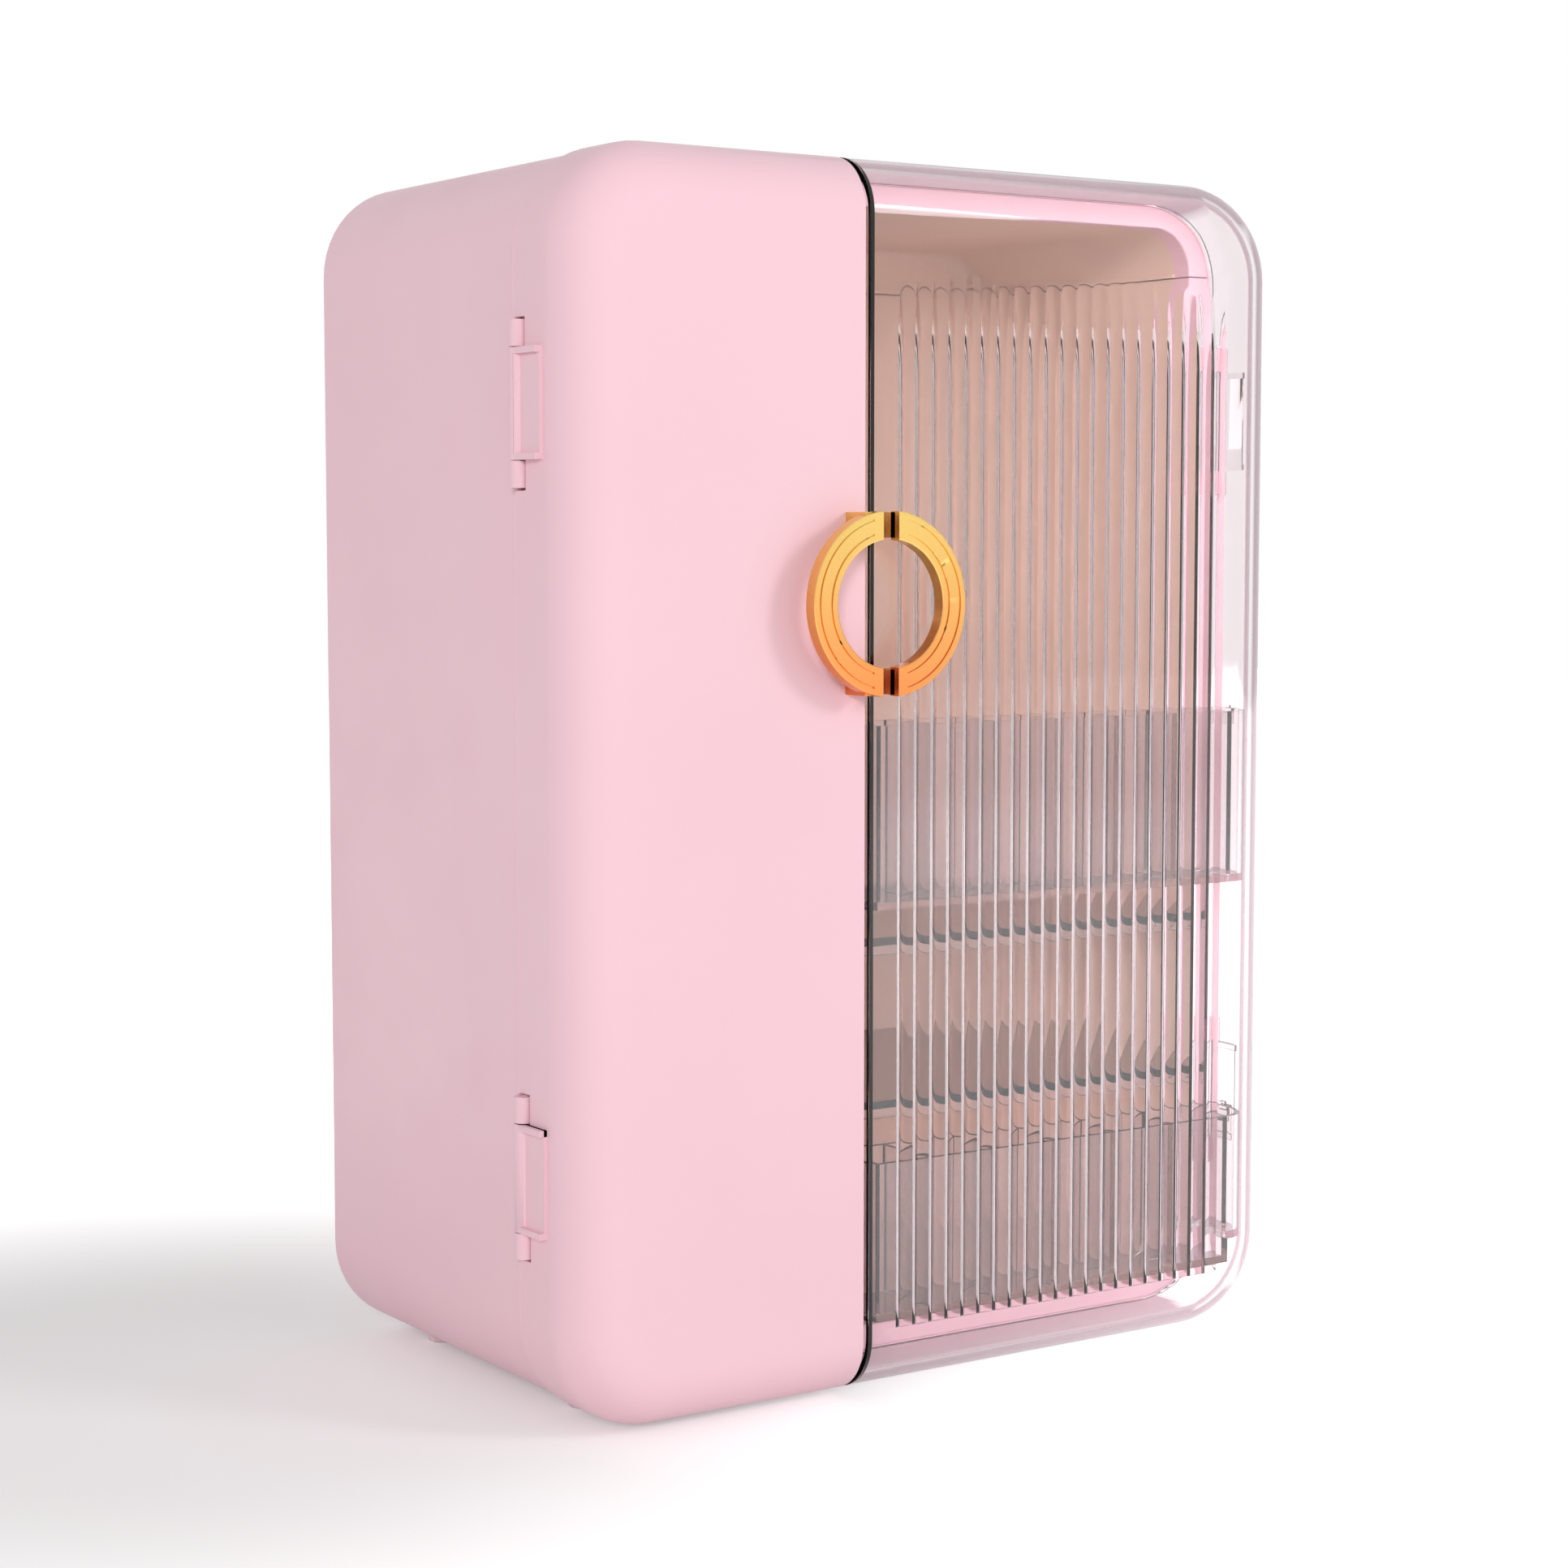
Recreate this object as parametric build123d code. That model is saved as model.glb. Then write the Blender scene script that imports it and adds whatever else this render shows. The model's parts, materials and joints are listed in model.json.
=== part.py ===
from build123d import *
import os

# A two-door cosmetics cabinet. Millimetres, +Z up, the doors face -Y. The origin is on the floor,
# under the middle of the overall box.

# Cabinet body
BODY_W = 284.4  # outside width
BODY_H = 400.0  # outside height
BODY_D = 136.4  # from the doors' seam plane to the back
CORNER_R = 32.0  # outside corners, seen from the front
SHELL_T = 2.4  # wall of the outer shell
SEAT = 2.0  # ledge inside the shell that the front rim and the back panel sit on
FIT = 0.15  # clearance round a piece that sits in a mouth

# Front rim and inner walls
RIM_W = 11.5  # from the body's outside to the edge of the opening
OPEN_R = 16.0  # corners of the opening
RIM_T = 3.0  # plate of the rim
LIP_T = 2.2  # lip that lines the opening
REVEAL = 8.0  # depth of that lip
LINER_T = 2.0
LINER_SET = 8.0  # the inner back wall stands this far ahead of the back
PART_DROP = 28.0  # rim and inner walls part this far below the top
PART_GAP = 0.4
BEAD_H = 1.5  # bead along the lower edge of the ceiling piece
BEAD_PROUD = 0.8

# Back panel and its screws
PANEL_T = 3.0
BOSS_R = 4.0
BACK_SCREW_IN = 52.2  # from the sides
BACK_SCREW_LOW = 40.0  # over the body's bottom
BACK_SCREW_DROP = 19.0  # below the top, on the ceiling piece

# Feet
FOOT_H = 3.5
FOOT_R = 5.0
FOOT_IN = 30.2  # from the sides
FOOT_FRONT = 14.0  # behind the seam plane
FOOT_BACK = 23.5  # ahead of the back
STEM_R = 2.5

# Shelves
SHELF_TOPS = {"mid_shelf": 144.0, "lower_shelf": 88.0}  # over the body's bottom
SHELF_T = 3.0
SHELF_GAP = 0.5
SHELF_LIP_T = 2.5
SHELF_LIP_H = 6.0
SHELF_FRONT = 1.0  # behind the seam plane
PEG_W = 6.0
PEG_H = 4.0
PEG_R = 2.0
PEG_EDGE = 18.0  # from the shelf's front and back edges

# Doors
DOOR_T = 37.6  # front face to seam plane
DOOR_OVER = 1.0  # the doors stand this far outside the body
DOOR_GAP = 0.6  # between the doors' back edge and the body
DOOR_WALL = 3.2
END_WALL = 2.8  # wall at the meeting edge
ROUND_R = 19.0  # rounding between the front and the sides
REAR_EASE = 0.8  # small rounding of the outer back edge
SPLIT_X = -35.3  # where the doors meet
MEET_GAP = 2.0
STRIP_T = 0.7  # black strip on each meeting edge
STRIP_INSET = 0.6
STRIP_W = 5.0

# Fluted pane, let into the front of the clear door from behind
PANE_EDGE = 1.5  # round the flutes
REBATE = 2.0  # the pane's rear half overlaps the door by this
FLUTE_PITCH = 6.65
FLUTE_START = 12.3  # from the clear door's meeting edge
FLUTE_DEPTH = 1.0
FLUTE_ROOT = 0.3  # sunk into the panel
FLUTE_LOW = 20.0  # over the body's bottom
FLUTE_DROP = 33.0  # below the body's top
FLUTE_FADE = 32.0  # length over which the upper ends rise out of the panel

# Hinges
HINGE_LOW = 78.9  # middle of the lower hinges over the body's bottom
HINGE_DROP = 79.7  # middle of the upper hinges below the top
HINGE_LEN = 51.6
HINGE_FWD = 4.0  # axis ahead of the seam plane
KNUCKLE_LEN = 8.3
KNUCKLE_R = 3.1
KNUCKLE_GAP = 0.3  # between knuckle and barrel
PIN_R = 1.25
PIN_PLAY = 0.05
PIN_SHORT = 0.6  # the pin ends this far inside the knuckles
NOTCH_GAP = 0.8  # round the hinge in the door's side
PLATE_T = 1.1
TAB_T = 2.0
TAB_PROUD = 2.8
LEAF_T = 2.0
LEAF_D = 18.0  # behind the seam plane
LEAF_SCREW_DROP = 14.0  # from the hinge's middle

# Trays in the doors
TRAY_T = 2.0
TRAY_FLOOR = 2.4
TRAY_GAP = 0.4
TRAY_REAR = 5.0  # ahead of the seam plane
TRAYS = {"upper": (158.4, 218.5, 0.0), "lower": (22.2, 74.8, 8.4)}  # bottom, top, step of the end cell
END_CELL = 10.8
CELL_PITCH = 26.05
MIN_CELL = 16.0
TRAY_CORNER = 12.0  # outer front corner, in the door's rounding
CORNER_ROOM = 0.5  # flat left beside that corner
LEDGE_W = 2.4
LEDGE_H = 4.0
LEDGE_GAP = 0.3
TRAY_LIP_T = 1.6
TOOTH_W = 2.0
TOOTH_UP = 0.8  # over the tray's lip

# Half-ring pulls
PULL_Z = 258.3  # over the body's bottom
PULL_R = 29.5
PULL_BAND = 9.1
PULL_T = 4.6
PULL_PROUD = 13.0
PULL_SPLIT = 6.0  # between the two halves
POST_W = 5.6
POST_SET = 0.5  # the post's ends inside the ring's edges
GROOVE_W = 0.6
GROOVE_DEEP = 0.5
GROOVE_SETS = (2.3, 6.7)  # from the ring's outer edge
GROOVE_END = 6.5  # the grooves stop this far from the ring's middle
EDGE_EASE = 0.4

# Screws
SCREW_R = 1.25
SCREW_HEAD_R = 2.3
SCREW_HEAD_T = 1.8
SCREW_PLAY = 0.35
HEAD_GAP = 0.2
SCREW_BITE = 7.0
LEAF_BITE = 1.6
SLOT_W = 0.6
SLOT_DEEP = 0.7

# Magnets behind the rim
MAGNET_L = 12.0
MAGNET_T = 3.0
MAGNET_H = 4.0

# Derived places
FRONT_Y = -(BODY_D + DOOR_T + PULL_PROUD) / 2
SEAM_Y = FRONT_Y + PULL_PROUD + DOOR_T
BACK_Y = SEAM_Y + BODY_D
BASE_Z = FOOT_H
TOP_Z = BASE_Z + BODY_H
PART_Z = TOP_Z - PART_DROP
MID_Z = BASE_Z + BODY_H / 2
DOOR_Y = SEAM_Y - DOOR_T
PANEL_Y = DOOR_Y + DOOR_WALL
SIDE_X = BODY_W / 2
DOOR_X = SIDE_X + DOOR_OVER
OPEN_X = SIDE_X - RIM_W
AXIS_Y = SEAM_Y - HINGE_FWD
FLAT_Y = DOOR_Y + ROUND_R  # behind this the doors' sides are flat
FLAT_X = DOOR_X - ROUND_R
LINER_BACK = BACK_Y - LINER_SET
PANEL_FRONT = BACK_Y - PANEL_T


def box(x0, x1, y0, y1, z0, z1):
    """A block between two corners."""
    return Pos((x0 + x1) / 2, (y0 + y1) / 2, (z0 + z1) / 2) * Box(x1 - x0, y1 - y0, z1 - z0)


def rod(radius, start, end):
    """A round rod between two points."""
    a, b = Vector(*start), Vector(*end)
    return extrude(Plane(origin=a, z_dir=b - a) * Circle(radius), (b - a).length)


def rounded_slab(inset, y0, y1):
    """The body's outline seen from the front, drawn in by inset, from y0 to y1."""
    face = Plane(origin=(0, y0, MID_Z), x_dir=(1, 0, 0), z_dir=(0, 1, 0)) * RectangleRounded(
        BODY_W - 2 * inset, BODY_H - 2 * inset, CORNER_R - inset
    )
    return extrude(face, y1 - y0)


def opening_slab(grow, y0, y1):
    """The opening's outline, grown outwards, from y0 to y1."""
    width, height = BODY_W - 2 * RIM_W + 2 * grow, BODY_H - 2 * RIM_W + 2 * grow
    plane = Plane(origin=(0, y0, MID_Z), x_dir=(1, 0, 0), z_dir=(0, 1, 0))
    return extrude(plane * RectangleRounded(width, height, OPEN_R + grow), y1 - y0)


def above(z):
    return box(-BODY_W, BODY_W, FRONT_Y, BACK_Y + 1, z, z + BODY_H)


def below(z):
    return box(-BODY_W, BODY_W, FRONT_Y, BACK_Y + 1, z - 2 * BODY_H, z)


def hinge_sides():
    """Each hinge's side and middle height."""
    return [(side, z) for side in (-1, 1) for z in (BASE_Z + HINGE_LOW, TOP_Z - HINGE_DROP)]


def screw(tip, head_seat, radius=SCREW_R, head_r=SCREW_HEAD_R, head_t=SCREW_HEAD_T):
    """A slotted screw from its tip to the seat of its head."""
    a, b = Vector(*tip), Vector(*head_seat)
    along = (b - a).normalized()
    top = b + along * head_t
    body = rod(radius, a, b) + rod(head_r, b, top)
    slot = Plane(origin=top - along * SLOT_DEEP, z_dir=along) * Rectangle(2 * head_r, SLOT_W)
    return body - extrude(slot, SLOT_DEEP)


# Cabinet body


def foot_places():
    x = SIDE_X - FOOT_IN
    return [(side * x, y) for side in (-1, 1) for y in (SEAM_Y + FOOT_FRONT, BACK_Y - FOOT_BACK)]


def cabinet_shell():
    """Tube with a ledge inside each mouth, foot holes and hinge seats."""
    shell = rounded_slab(0, SEAM_Y, BACK_Y) - rounded_slab(SHELL_T, SEAM_Y - 1, BACK_Y + 1)
    for y in (SEAM_Y + RIM_T, PANEL_FRONT - SEAT):
        shell += rounded_slab(SHELL_T, y, y + SEAT) - rounded_slab(SHELL_T + SEAT, y - 1, y + SEAT + 1)
    for x, y in foot_places():
        shell -= rod(STEM_R, (x, y, BASE_Z - 1), (x, y, BASE_Z + SHELL_T + 2))
    for side, z in hinge_sides():
        shell -= leaf_room(side, z)
    for tip, seat in leaf_screw_lines():
        shell -= rod(SCREW_R, tip, seat)
    return shell


def rim():
    """Flat rim with a lip round the opening, in one piece before it is parted."""
    mouth = opening_slab(0, SEAM_Y - 1, SEAM_Y + REVEAL + 1)
    plate = rounded_slab(SHELL_T + FIT, SEAM_Y, SEAM_Y + RIM_T)
    lip = opening_slab(LIP_T, SEAM_Y, SEAM_Y + REVEAL)
    whole = plate + lip - mouth
    for side, z in hinge_sides():
        whole -= leaf_room(side, z)
    return whole


def front_frame():
    return rim() - above(PART_Z - PART_GAP)


def front_frame_top():
    return rim() - below(PART_Z)


def inner_walls():
    """Walls and back of the inside, in one piece before they are parted."""
    y0 = SEAM_Y + REVEAL
    return opening_slab(LINER_T, y0, LINER_BACK) - opening_slab(0, y0 - 1, LINER_BACK - LINER_T)


def bosses(low, high):
    """Screw bosses between the inner back wall and the back panel, for heights from low to high."""
    made = []
    for x, z in back_screw_places():
        if low <= z < high:
            made.append(rod(BOSS_R, (x, LINER_BACK, z), (x, PANEL_FRONT, z)))
    return made


def back_screw_places():
    heights = (BASE_Z + BACK_SCREW_LOW, MID_Z, TOP_Z - BACK_SCREW_DROP)
    return [(side * (SIDE_X - BACK_SCREW_IN), z) for side in (-1, 1) for z in heights]


def back_screw_holes():
    tip = PANEL_FRONT - SCREW_BITE
    return [rod(SCREW_R, (x, tip, z), (x, PANEL_FRONT, z)) for x, z in back_screw_places()]


def inner_liner():
    liner = inner_walls() - above(PART_Z - PART_GAP)
    for boss in bosses(0, PART_Z):
        liner += boss
    for hole in back_screw_holes() + shelf_peg_stems():
        liner -= hole
    return liner


def ceiling_liner():
    """Top of the inside, with a bead along its lower edge."""
    ceiling = inner_walls() - below(PART_Z)
    z0, z1 = PART_Z, PART_Z + BEAD_H
    y0, y1 = SEAM_Y + REVEAL, LINER_BACK - LINER_T
    for side in (-1, 1):
        edge, inner = sorted((side * OPEN_X, side * (OPEN_X - BEAD_PROUD)))
        ceiling += box(edge, inner, y0, y1, z0, z1)
    ceiling += box(-OPEN_X, OPEN_X, y1 - BEAD_PROUD, y1, z0, z1)
    for boss in bosses(PART_Z, TOP_Z):
        ceiling += boss
    for hole in back_screw_holes():
        ceiling -= hole
    return ceiling


def back_panel():
    panel = rounded_slab(SHELL_T + FIT, PANEL_FRONT, BACK_Y)
    for x, z in back_screw_places():
        panel -= rod(SCREW_R + SCREW_PLAY, (x, PANEL_FRONT - 1, z), (x, BACK_Y + 1, z))
        panel -= rod(SCREW_HEAD_R + SCREW_PLAY, (x, BACK_Y - SCREW_HEAD_T, z), (x, BACK_Y + 1, z))
    return panel


def back_panel_screws():
    return [
        screw((x, PANEL_FRONT - SCREW_BITE, z), (x, BACK_Y - SCREW_HEAD_T, z)) for x, z in back_screw_places()
    ]


def rubber_feet():
    """Feet that hug the rounded underside, each with a stem through the shell."""
    feet = []
    for x, y in foot_places():
        foot = rod(FOOT_R, (x, y, 0), (x, y, BASE_Z + SHELL_T)) - rounded_slab(0, SEAM_Y - 1, BACK_Y + 1)
        feet.append(foot + rod(STEM_R, (x, y, BASE_Z - 1), (x, y, BASE_Z + SHELL_T)))
    return feet


# Shelves


def shelf(top):
    """Clear shelf with a front lip that hangs below it."""
    z1 = BASE_Z + top
    x = OPEN_X - SHELF_GAP
    y0 = SEAM_Y + SHELF_FRONT
    plate = box(-x, x, y0, LINER_BACK - LINER_T - SHELF_GAP, z1 - SHELF_T, z1)
    return plate + box(-x, x, y0, y0 + SHELF_LIP_T, z1 - SHELF_LIP_H, z1)


def peg_places():
    """Side, depth and top of each peg under the shelves."""
    depths = (SEAM_Y + SHELF_FRONT + PEG_EDGE, LINER_BACK - LINER_T - SHELF_GAP - PEG_EDGE)
    tops = [BASE_Z + top - SHELF_T for top in SHELF_TOPS.values()]
    return [(side, y, z) for side in (-1, 1) for y in depths for z in tops]


def shelf_peg_stems():
    return [
        rod(PEG_R, (side * OPEN_X, y, z - PEG_H / 2), (side * (OPEN_X + LINER_T), y, z - PEG_H / 2))
        for side, y, z in peg_places()
    ]


def shelf_pegs():
    pegs = []
    for (side, y, z), stem in zip(peg_places(), shelf_peg_stems()):
        x0, x1 = sorted((side * (OPEN_X - PEG_W), side * OPEN_X))
        pegs.append(box(x0, x1, y - PEG_W / 2, y + PEG_W / 2, z - PEG_H, z) + stem)
    return pegs


# Hinges


def leaf_room(side, z):
    """Room for a hinge leaf in the rim and the shell's front ledge."""
    x0, x1 = sorted((side * (SIDE_X - SHELL_T - LEAF_T - FIT), side * (SIDE_X - SHELL_T)))
    half = HINGE_LEN / 2 + FIT
    return box(x0, x1, SEAM_Y - 1, SEAM_Y + RIM_T + SEAT + 1, z - half, z + half)


def leaf_screw_places():
    """Side, depth and height of each leaf screw."""
    y = SEAM_Y + (RIM_T + SEAT + LEAF_D) / 2
    return [(side, y, z + dz) for side, z in hinge_sides() for dz in (-LEAF_SCREW_DROP, LEAF_SCREW_DROP)]


def leaf_screw_lines():
    """Tip and head seat of each leaf screw, driven outwards into the shell's side."""
    tip = SIDE_X - SHELL_T + LEAF_BITE
    seat = SIDE_X - SHELL_T - LEAF_T
    return [((side * tip, y, z), (side * seat, y, z)) for side, y, z in leaf_screw_places()]


def leaf_screws():
    return [screw(tip, seat) for tip, seat in leaf_screw_lines()]


def hinge_leaf(side, z):
    """Leaf on the inside of the shell's wall, with a knuckle at each end."""
    wall = SIDE_X - SHELL_T
    half = HINGE_LEN / 2
    x0, x1 = sorted((side * (wall - LEAF_T), side * wall))
    leaf = box(x0, x1, SEAM_Y, SEAM_Y + LEAF_D, z - half, z + half)
    for end in (-1, 1):
        z0, z1 = sorted((z + end * half, z + end * (half - KNUCKLE_LEN)))
        x2, x3 = sorted((side * (wall - LEAF_T), side * DOOR_X))
        leaf += box(x2, x3, AXIS_Y, SEAM_Y, z0, z1)
        leaf += rod(KNUCKLE_R, (side * DOOR_X, AXIS_Y, z0), (side * DOOR_X, AXIS_Y, z1))
    leaf -= rod(PIN_R, (side * DOOR_X, AXIS_Y, z - half - 1), (side * DOOR_X, AXIS_Y, z + half + 1))
    for tip, seat in leaf_screw_lines():
        leaf -= rod(SCREW_R, tip, seat)
    return leaf


def hinge_pin(side, z):
    half = HINGE_LEN / 2 - PIN_SHORT
    return rod(PIN_R, (side * DOOR_X, AXIS_Y, z - half), (side * DOOR_X, AXIS_Y, z + half))


def hinge_arm(side, z):
    """Barrel with a plate and two tabs that lie on the door's side."""
    half = HINGE_LEN / 2 - KNUCKLE_LEN - KNUCKLE_GAP
    x0, x1 = sorted((side * DOOR_X, side * (DOOR_X + PLATE_T)))
    arm = rod(KNUCKLE_R, (side * DOOR_X, AXIS_Y, z - half), (side * DOOR_X, AXIS_Y, z + half))
    arm += box(x0, x1, FLAT_Y, AXIS_Y, z - half, z + half)
    x2, x3 = sorted((side * DOOR_X, side * (DOOR_X + TAB_PROUD)))
    for z0 in (z - half, z + half - TAB_T):
        arm += box(x2, x3, FLAT_Y, AXIS_Y, z0, z0 + TAB_T)
    low, high = (side * DOOR_X, AXIS_Y, z - half - 1), (side * DOOR_X, AXIS_Y, z + half + 1)
    return arm - rod(PIN_R + PIN_PLAY, low, high)


def hinge_notch(side, z):
    """Opening in the door's side that the knuckles and barrel turn in."""
    half = HINGE_LEN / 2 + NOTCH_GAP
    x0, x1 = sorted((side * (DOOR_X - DOOR_WALL - 1), side * (DOOR_X + 1)))
    return box(x0, x1, AXIS_Y - KNUCKLE_R - NOTCH_GAP, SEAM_Y, z - half, z + half)


# Doors


def door_block(inset, y_back):
    """Both doors as one rounded block, drawn in by inset on every side but the back."""
    block = rounded_slab(inset - DOOR_OVER, DOOR_Y + inset, y_back)
    return fillet(block.edges().group_by(Axis.Y)[0], ROUND_R - inset)


def door_span(side):
    """X of the meeting edge and of the outer side."""
    return SPLIT_X + side * MEET_GAP / 2, side * DOOR_X


def door_slice(x0, x1):
    return box(min(x0, x1), max(x0, x1), FRONT_Y, SEAM_Y + 1, BASE_Z - BODY_H, BASE_Z + 2 * BODY_H)


def door_shell(side):
    """Hollow door, open at the back, with notches for its hinges and holes for its pull."""
    meet, outer = door_span(side)
    block = door_block(0, SEAM_Y - DOOR_GAP)
    block = fillet(block.edges().group_by(Axis.Y)[-1], REAR_EASE)
    shell = block & door_slice(meet, outer)
    shell -= door_block(DOOR_WALL, SEAM_Y) & door_slice(meet + side * END_WALL, outer)
    for hinge_side, z in hinge_sides():
        if hinge_side == side:
            shell -= hinge_notch(side, z)
    for x, z in pull_screw_places(side):
        shell -= rod(SCREW_R + SCREW_PLAY, (x, DOOR_Y - 1, z), (x, PANEL_Y + 1, z))
    return shell


def flute_field():
    """How many flutes there are, and the x and z that they fill."""
    x0 = SPLIT_X + MEET_GAP / 2 + FLUTE_START
    count = int((FLAT_X - x0) / FLUTE_PITCH)
    return count, (x0, x0 + count * FLUTE_PITCH), (BASE_Z + FLUTE_LOW, TOP_Z - FLUTE_DROP)


def flutes():
    """Convex ribs side by side, whose upper ends rise out of the panel."""
    count, (x0, x1), (z0, z1) = flute_field()
    crest, root = PANEL_Y + FLUTE_DEPTH, PANEL_Y - FLUTE_ROOT
    edges = [Polyline((x0, PANEL_Y), (x0, root), (x1, root), (x1, PANEL_Y))]
    for i in range(count):
        left = x0 + i * FLUTE_PITCH
        middle = left + FLUTE_PITCH / 2
        edges.append(ThreePointArc((left, PANEL_Y), (middle, crest), (left + FLUTE_PITCH, PANEL_Y)))
    section = Pos(0, 0, z0) * make_face(Curve() + edges)
    ribs = extrude(section, z1 - z0, dir=(0, 0, 1))
    over, fade = crest + FLUTE_DEPTH, z1 - FLUTE_FADE
    ramp = Polyline((PANEL_Y, z1), (crest, fade), (over, fade), (over, z1 + 1), (PANEL_Y, z1 + 1), close=True)
    return ribs - extrude(Plane.YZ * make_face(ramp), 2 * BODY_W, both=True)


def clear_door():
    """Clear door as its shell and the fluted pane in its stepped window."""
    _, (x0, x1), (z0, z1) = flute_field()
    step_y = (DOOR_Y + PANEL_Y) / 2
    rear = box(x0 - PANE_EDGE, x1 + PANE_EDGE, step_y, PANEL_Y, z0 - PANE_EDGE, z1 + PANE_EDGE)
    inset = REBATE - PANE_EDGE
    window = rear + box(x0 + inset, x1 - inset, DOOR_Y, step_y, z0 + inset, z1 - inset)
    shell = door_shell(1)
    return shell - window, (shell & window) + flutes()


def seam_strip(side):
    """Thin strip round the meeting edge of a door: top, front and bottom."""
    meet, _ = door_span(side)
    band = door_block(STRIP_INSET, SEAM_Y - DOOR_GAP - STRIP_INSET)
    band -= door_block(STRIP_INSET + STRIP_W, SEAM_Y)
    return band & door_slice(meet, meet - side * STRIP_T)


# Trays


def tray_span(side):
    """X of the tray's ends as distances towards the door's outer side."""
    meet, outer = door_span(side)
    inset = LEDGE_W + LEDGE_GAP
    return side * meet + END_WALL + inset, abs(outer) - DOOR_WALL - inset


def tray_front():
    return PANEL_Y + FLUTE_DEPTH + TRAY_GAP


def open_box(x0, x1, z0, z1, corner=0.0):
    """Thin open-topped box between the tray's front and rear, its outer front corner rounded."""
    y0, y1 = tray_front(), SEAM_Y - TRAY_REAR
    outside = box(x0, x1, y0, y1, z0, z1)
    inside = box(x0 + TRAY_T, x1 - TRAY_T, y0 + TRAY_T, y1 - TRAY_T, z0 + TRAY_FLOOR, z1 + 1)
    if corner:
        outside = fillet(outside.edges().filter_by(Axis.Z).group_by(Axis.Y)[0].sort_by(Axis.X)[-1], corner)
        inside = fillet(
            inside.edges().filter_by(Axis.Z).group_by(Axis.Y)[0].sort_by(Axis.X)[-1], corner - TRAY_T
        )
    return outside - inside


def ledge_range():
    """Front and rear of the ledges, on the flat part of the door's side and clear of the hinges."""
    return FLAT_Y + LEDGE_GAP, AXIS_Y - KNUCKLE_R - NOTCH_GAP - LEDGE_GAP


def tray(side, level):
    """Bin with dividers, a raised end cell over the door's rounded corner, and a lip at each end."""
    low, high, step = TRAYS[level]
    z0, z1 = BASE_Z + low, BASE_Z + high
    x0, x1 = tray_span(side)
    last = x1 - TRAY_T - END_CELL - TRAY_T / 2
    corner = min(TRAY_CORNER, END_CELL + TRAY_T - CORNER_ROOM)
    made = open_box(x0, last + TRAY_T / 2, z0, z1)
    made += open_box(last - TRAY_T / 2, x1, z0 + step, z1, corner)
    x = last - CELL_PITCH
    while x > x0 + MIN_CELL:
        made += box(x - TRAY_T / 2, x + TRAY_T / 2, tray_front(), SEAM_Y - TRAY_REAR, z0, z1)
        x -= CELL_PITCH
    y0, y1 = ledge_range()
    middle, half = (y0 + y1) / 2, TOOTH_W / 2 + LEDGE_GAP
    for wall, tip in ((x0, x0 - LEDGE_W), (x1, x1 + LEDGE_W)):
        lip = box(min(wall, tip), max(wall, tip), y0, y1, z1 - TRAY_LIP_T, z1)
        slot = box(min(wall, tip) - 1, max(wall, tip) + 1, middle - half, middle + half, z0, z1 + 1)
        made += lip - slot
    return made if side > 0 else mirror(made, about=Plane.YZ)


def tray_ledges(side):
    """Ledges on the door's walls that the tray lips hang on, each with a locating tooth."""
    x0, x1 = tray_span(side)
    x0, x1 = x0 - LEDGE_GAP, x1 + LEDGE_GAP
    y0, y1 = ledge_range()
    y2, y3 = (y0 + y1 - TOOTH_W) / 2, (y0 + y1 + TOOTH_W) / 2
    made = []
    for low, high, _ in TRAYS.values():
        top = BASE_Z + high - TRAY_LIP_T
        for left, right in ((x0 - LEDGE_W, x0), (x1, x1 + LEDGE_W)):
            ledge = box(left, right, y0, y1, top - LEDGE_H, top)
            ledge += box(left, right, y2, y3, top - LEDGE_H, top + TRAY_LIP_T + TOOTH_UP)
            made.append(ledge if side > 0 else mirror(ledge, about=Plane.YZ))
    return made


# Pulls


def pull_screw_places(side):
    """Screws into the two posts of a half ring, their heads just clear of the meeting edge's wall."""
    x = SPLIT_X + side * (MEET_GAP / 2 + END_WALL + SCREW_HEAD_R + HEAD_GAP)
    reach = PULL_R - PULL_BAND / 2
    return [(x, BASE_Z + PULL_Z - reach), (x, BASE_Z + PULL_Z + reach)]


def ring(outer, inner, y0, y1):
    face = Plane(origin=(SPLIT_X, y0, BASE_Z + PULL_Z), x_dir=(1, 0, 0), z_dir=(0, 1, 0)) * (
        Circle(outer) - Circle(inner)
    )
    return extrude(face, y1 - y0)


def beyond(side, start):
    """Everything on one side of the ring's middle, from start outwards."""
    x0, x1 = sorted((SPLIT_X + side * start, SPLIT_X + side * 2 * PULL_R))
    return box(x0, x1, FRONT_Y - 1, DOOR_Y + 1, BASE_Z, BASE_Z + BODY_H)


def pull(side):
    """Half of a flat ring on two posts, with two grooves round its face."""
    inner = PULL_R - PULL_BAND
    band = ring(PULL_R, inner, FRONT_Y, FRONT_Y + PULL_T)
    band = chamfer(band.edges().group_by(Axis.Y)[0], EDGE_EASE)
    made = band & beyond(side, PULL_SPLIT / 2)
    for set_in in GROOVE_SETS:
        radius = PULL_R - set_in
        groove = ring(radius + GROOVE_W / 2, radius - GROOVE_W / 2, FRONT_Y - 1, FRONT_Y + GROOVE_DEEP)
        made -= groove & beyond(side, GROOVE_END)
    x0, x1 = sorted(SPLIT_X + side * x for x in (PULL_SPLIT / 2, PULL_SPLIT / 2 + POST_W))
    for x, z in pull_screw_places(side):
        half = PULL_BAND / 2 - POST_SET
        made += box(x0, x1, FRONT_Y + PULL_T / 2, DOOR_Y, z - half, z + half)
        made -= rod(SCREW_R, (x, DOOR_Y - SCREW_BITE, z), (x, DOOR_Y, z))
    return made


def pull_screws(side):
    return [screw((x, DOOR_Y - SCREW_BITE, z), (x, PANEL_Y, z)) for x, z in pull_screw_places(side)]


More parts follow.
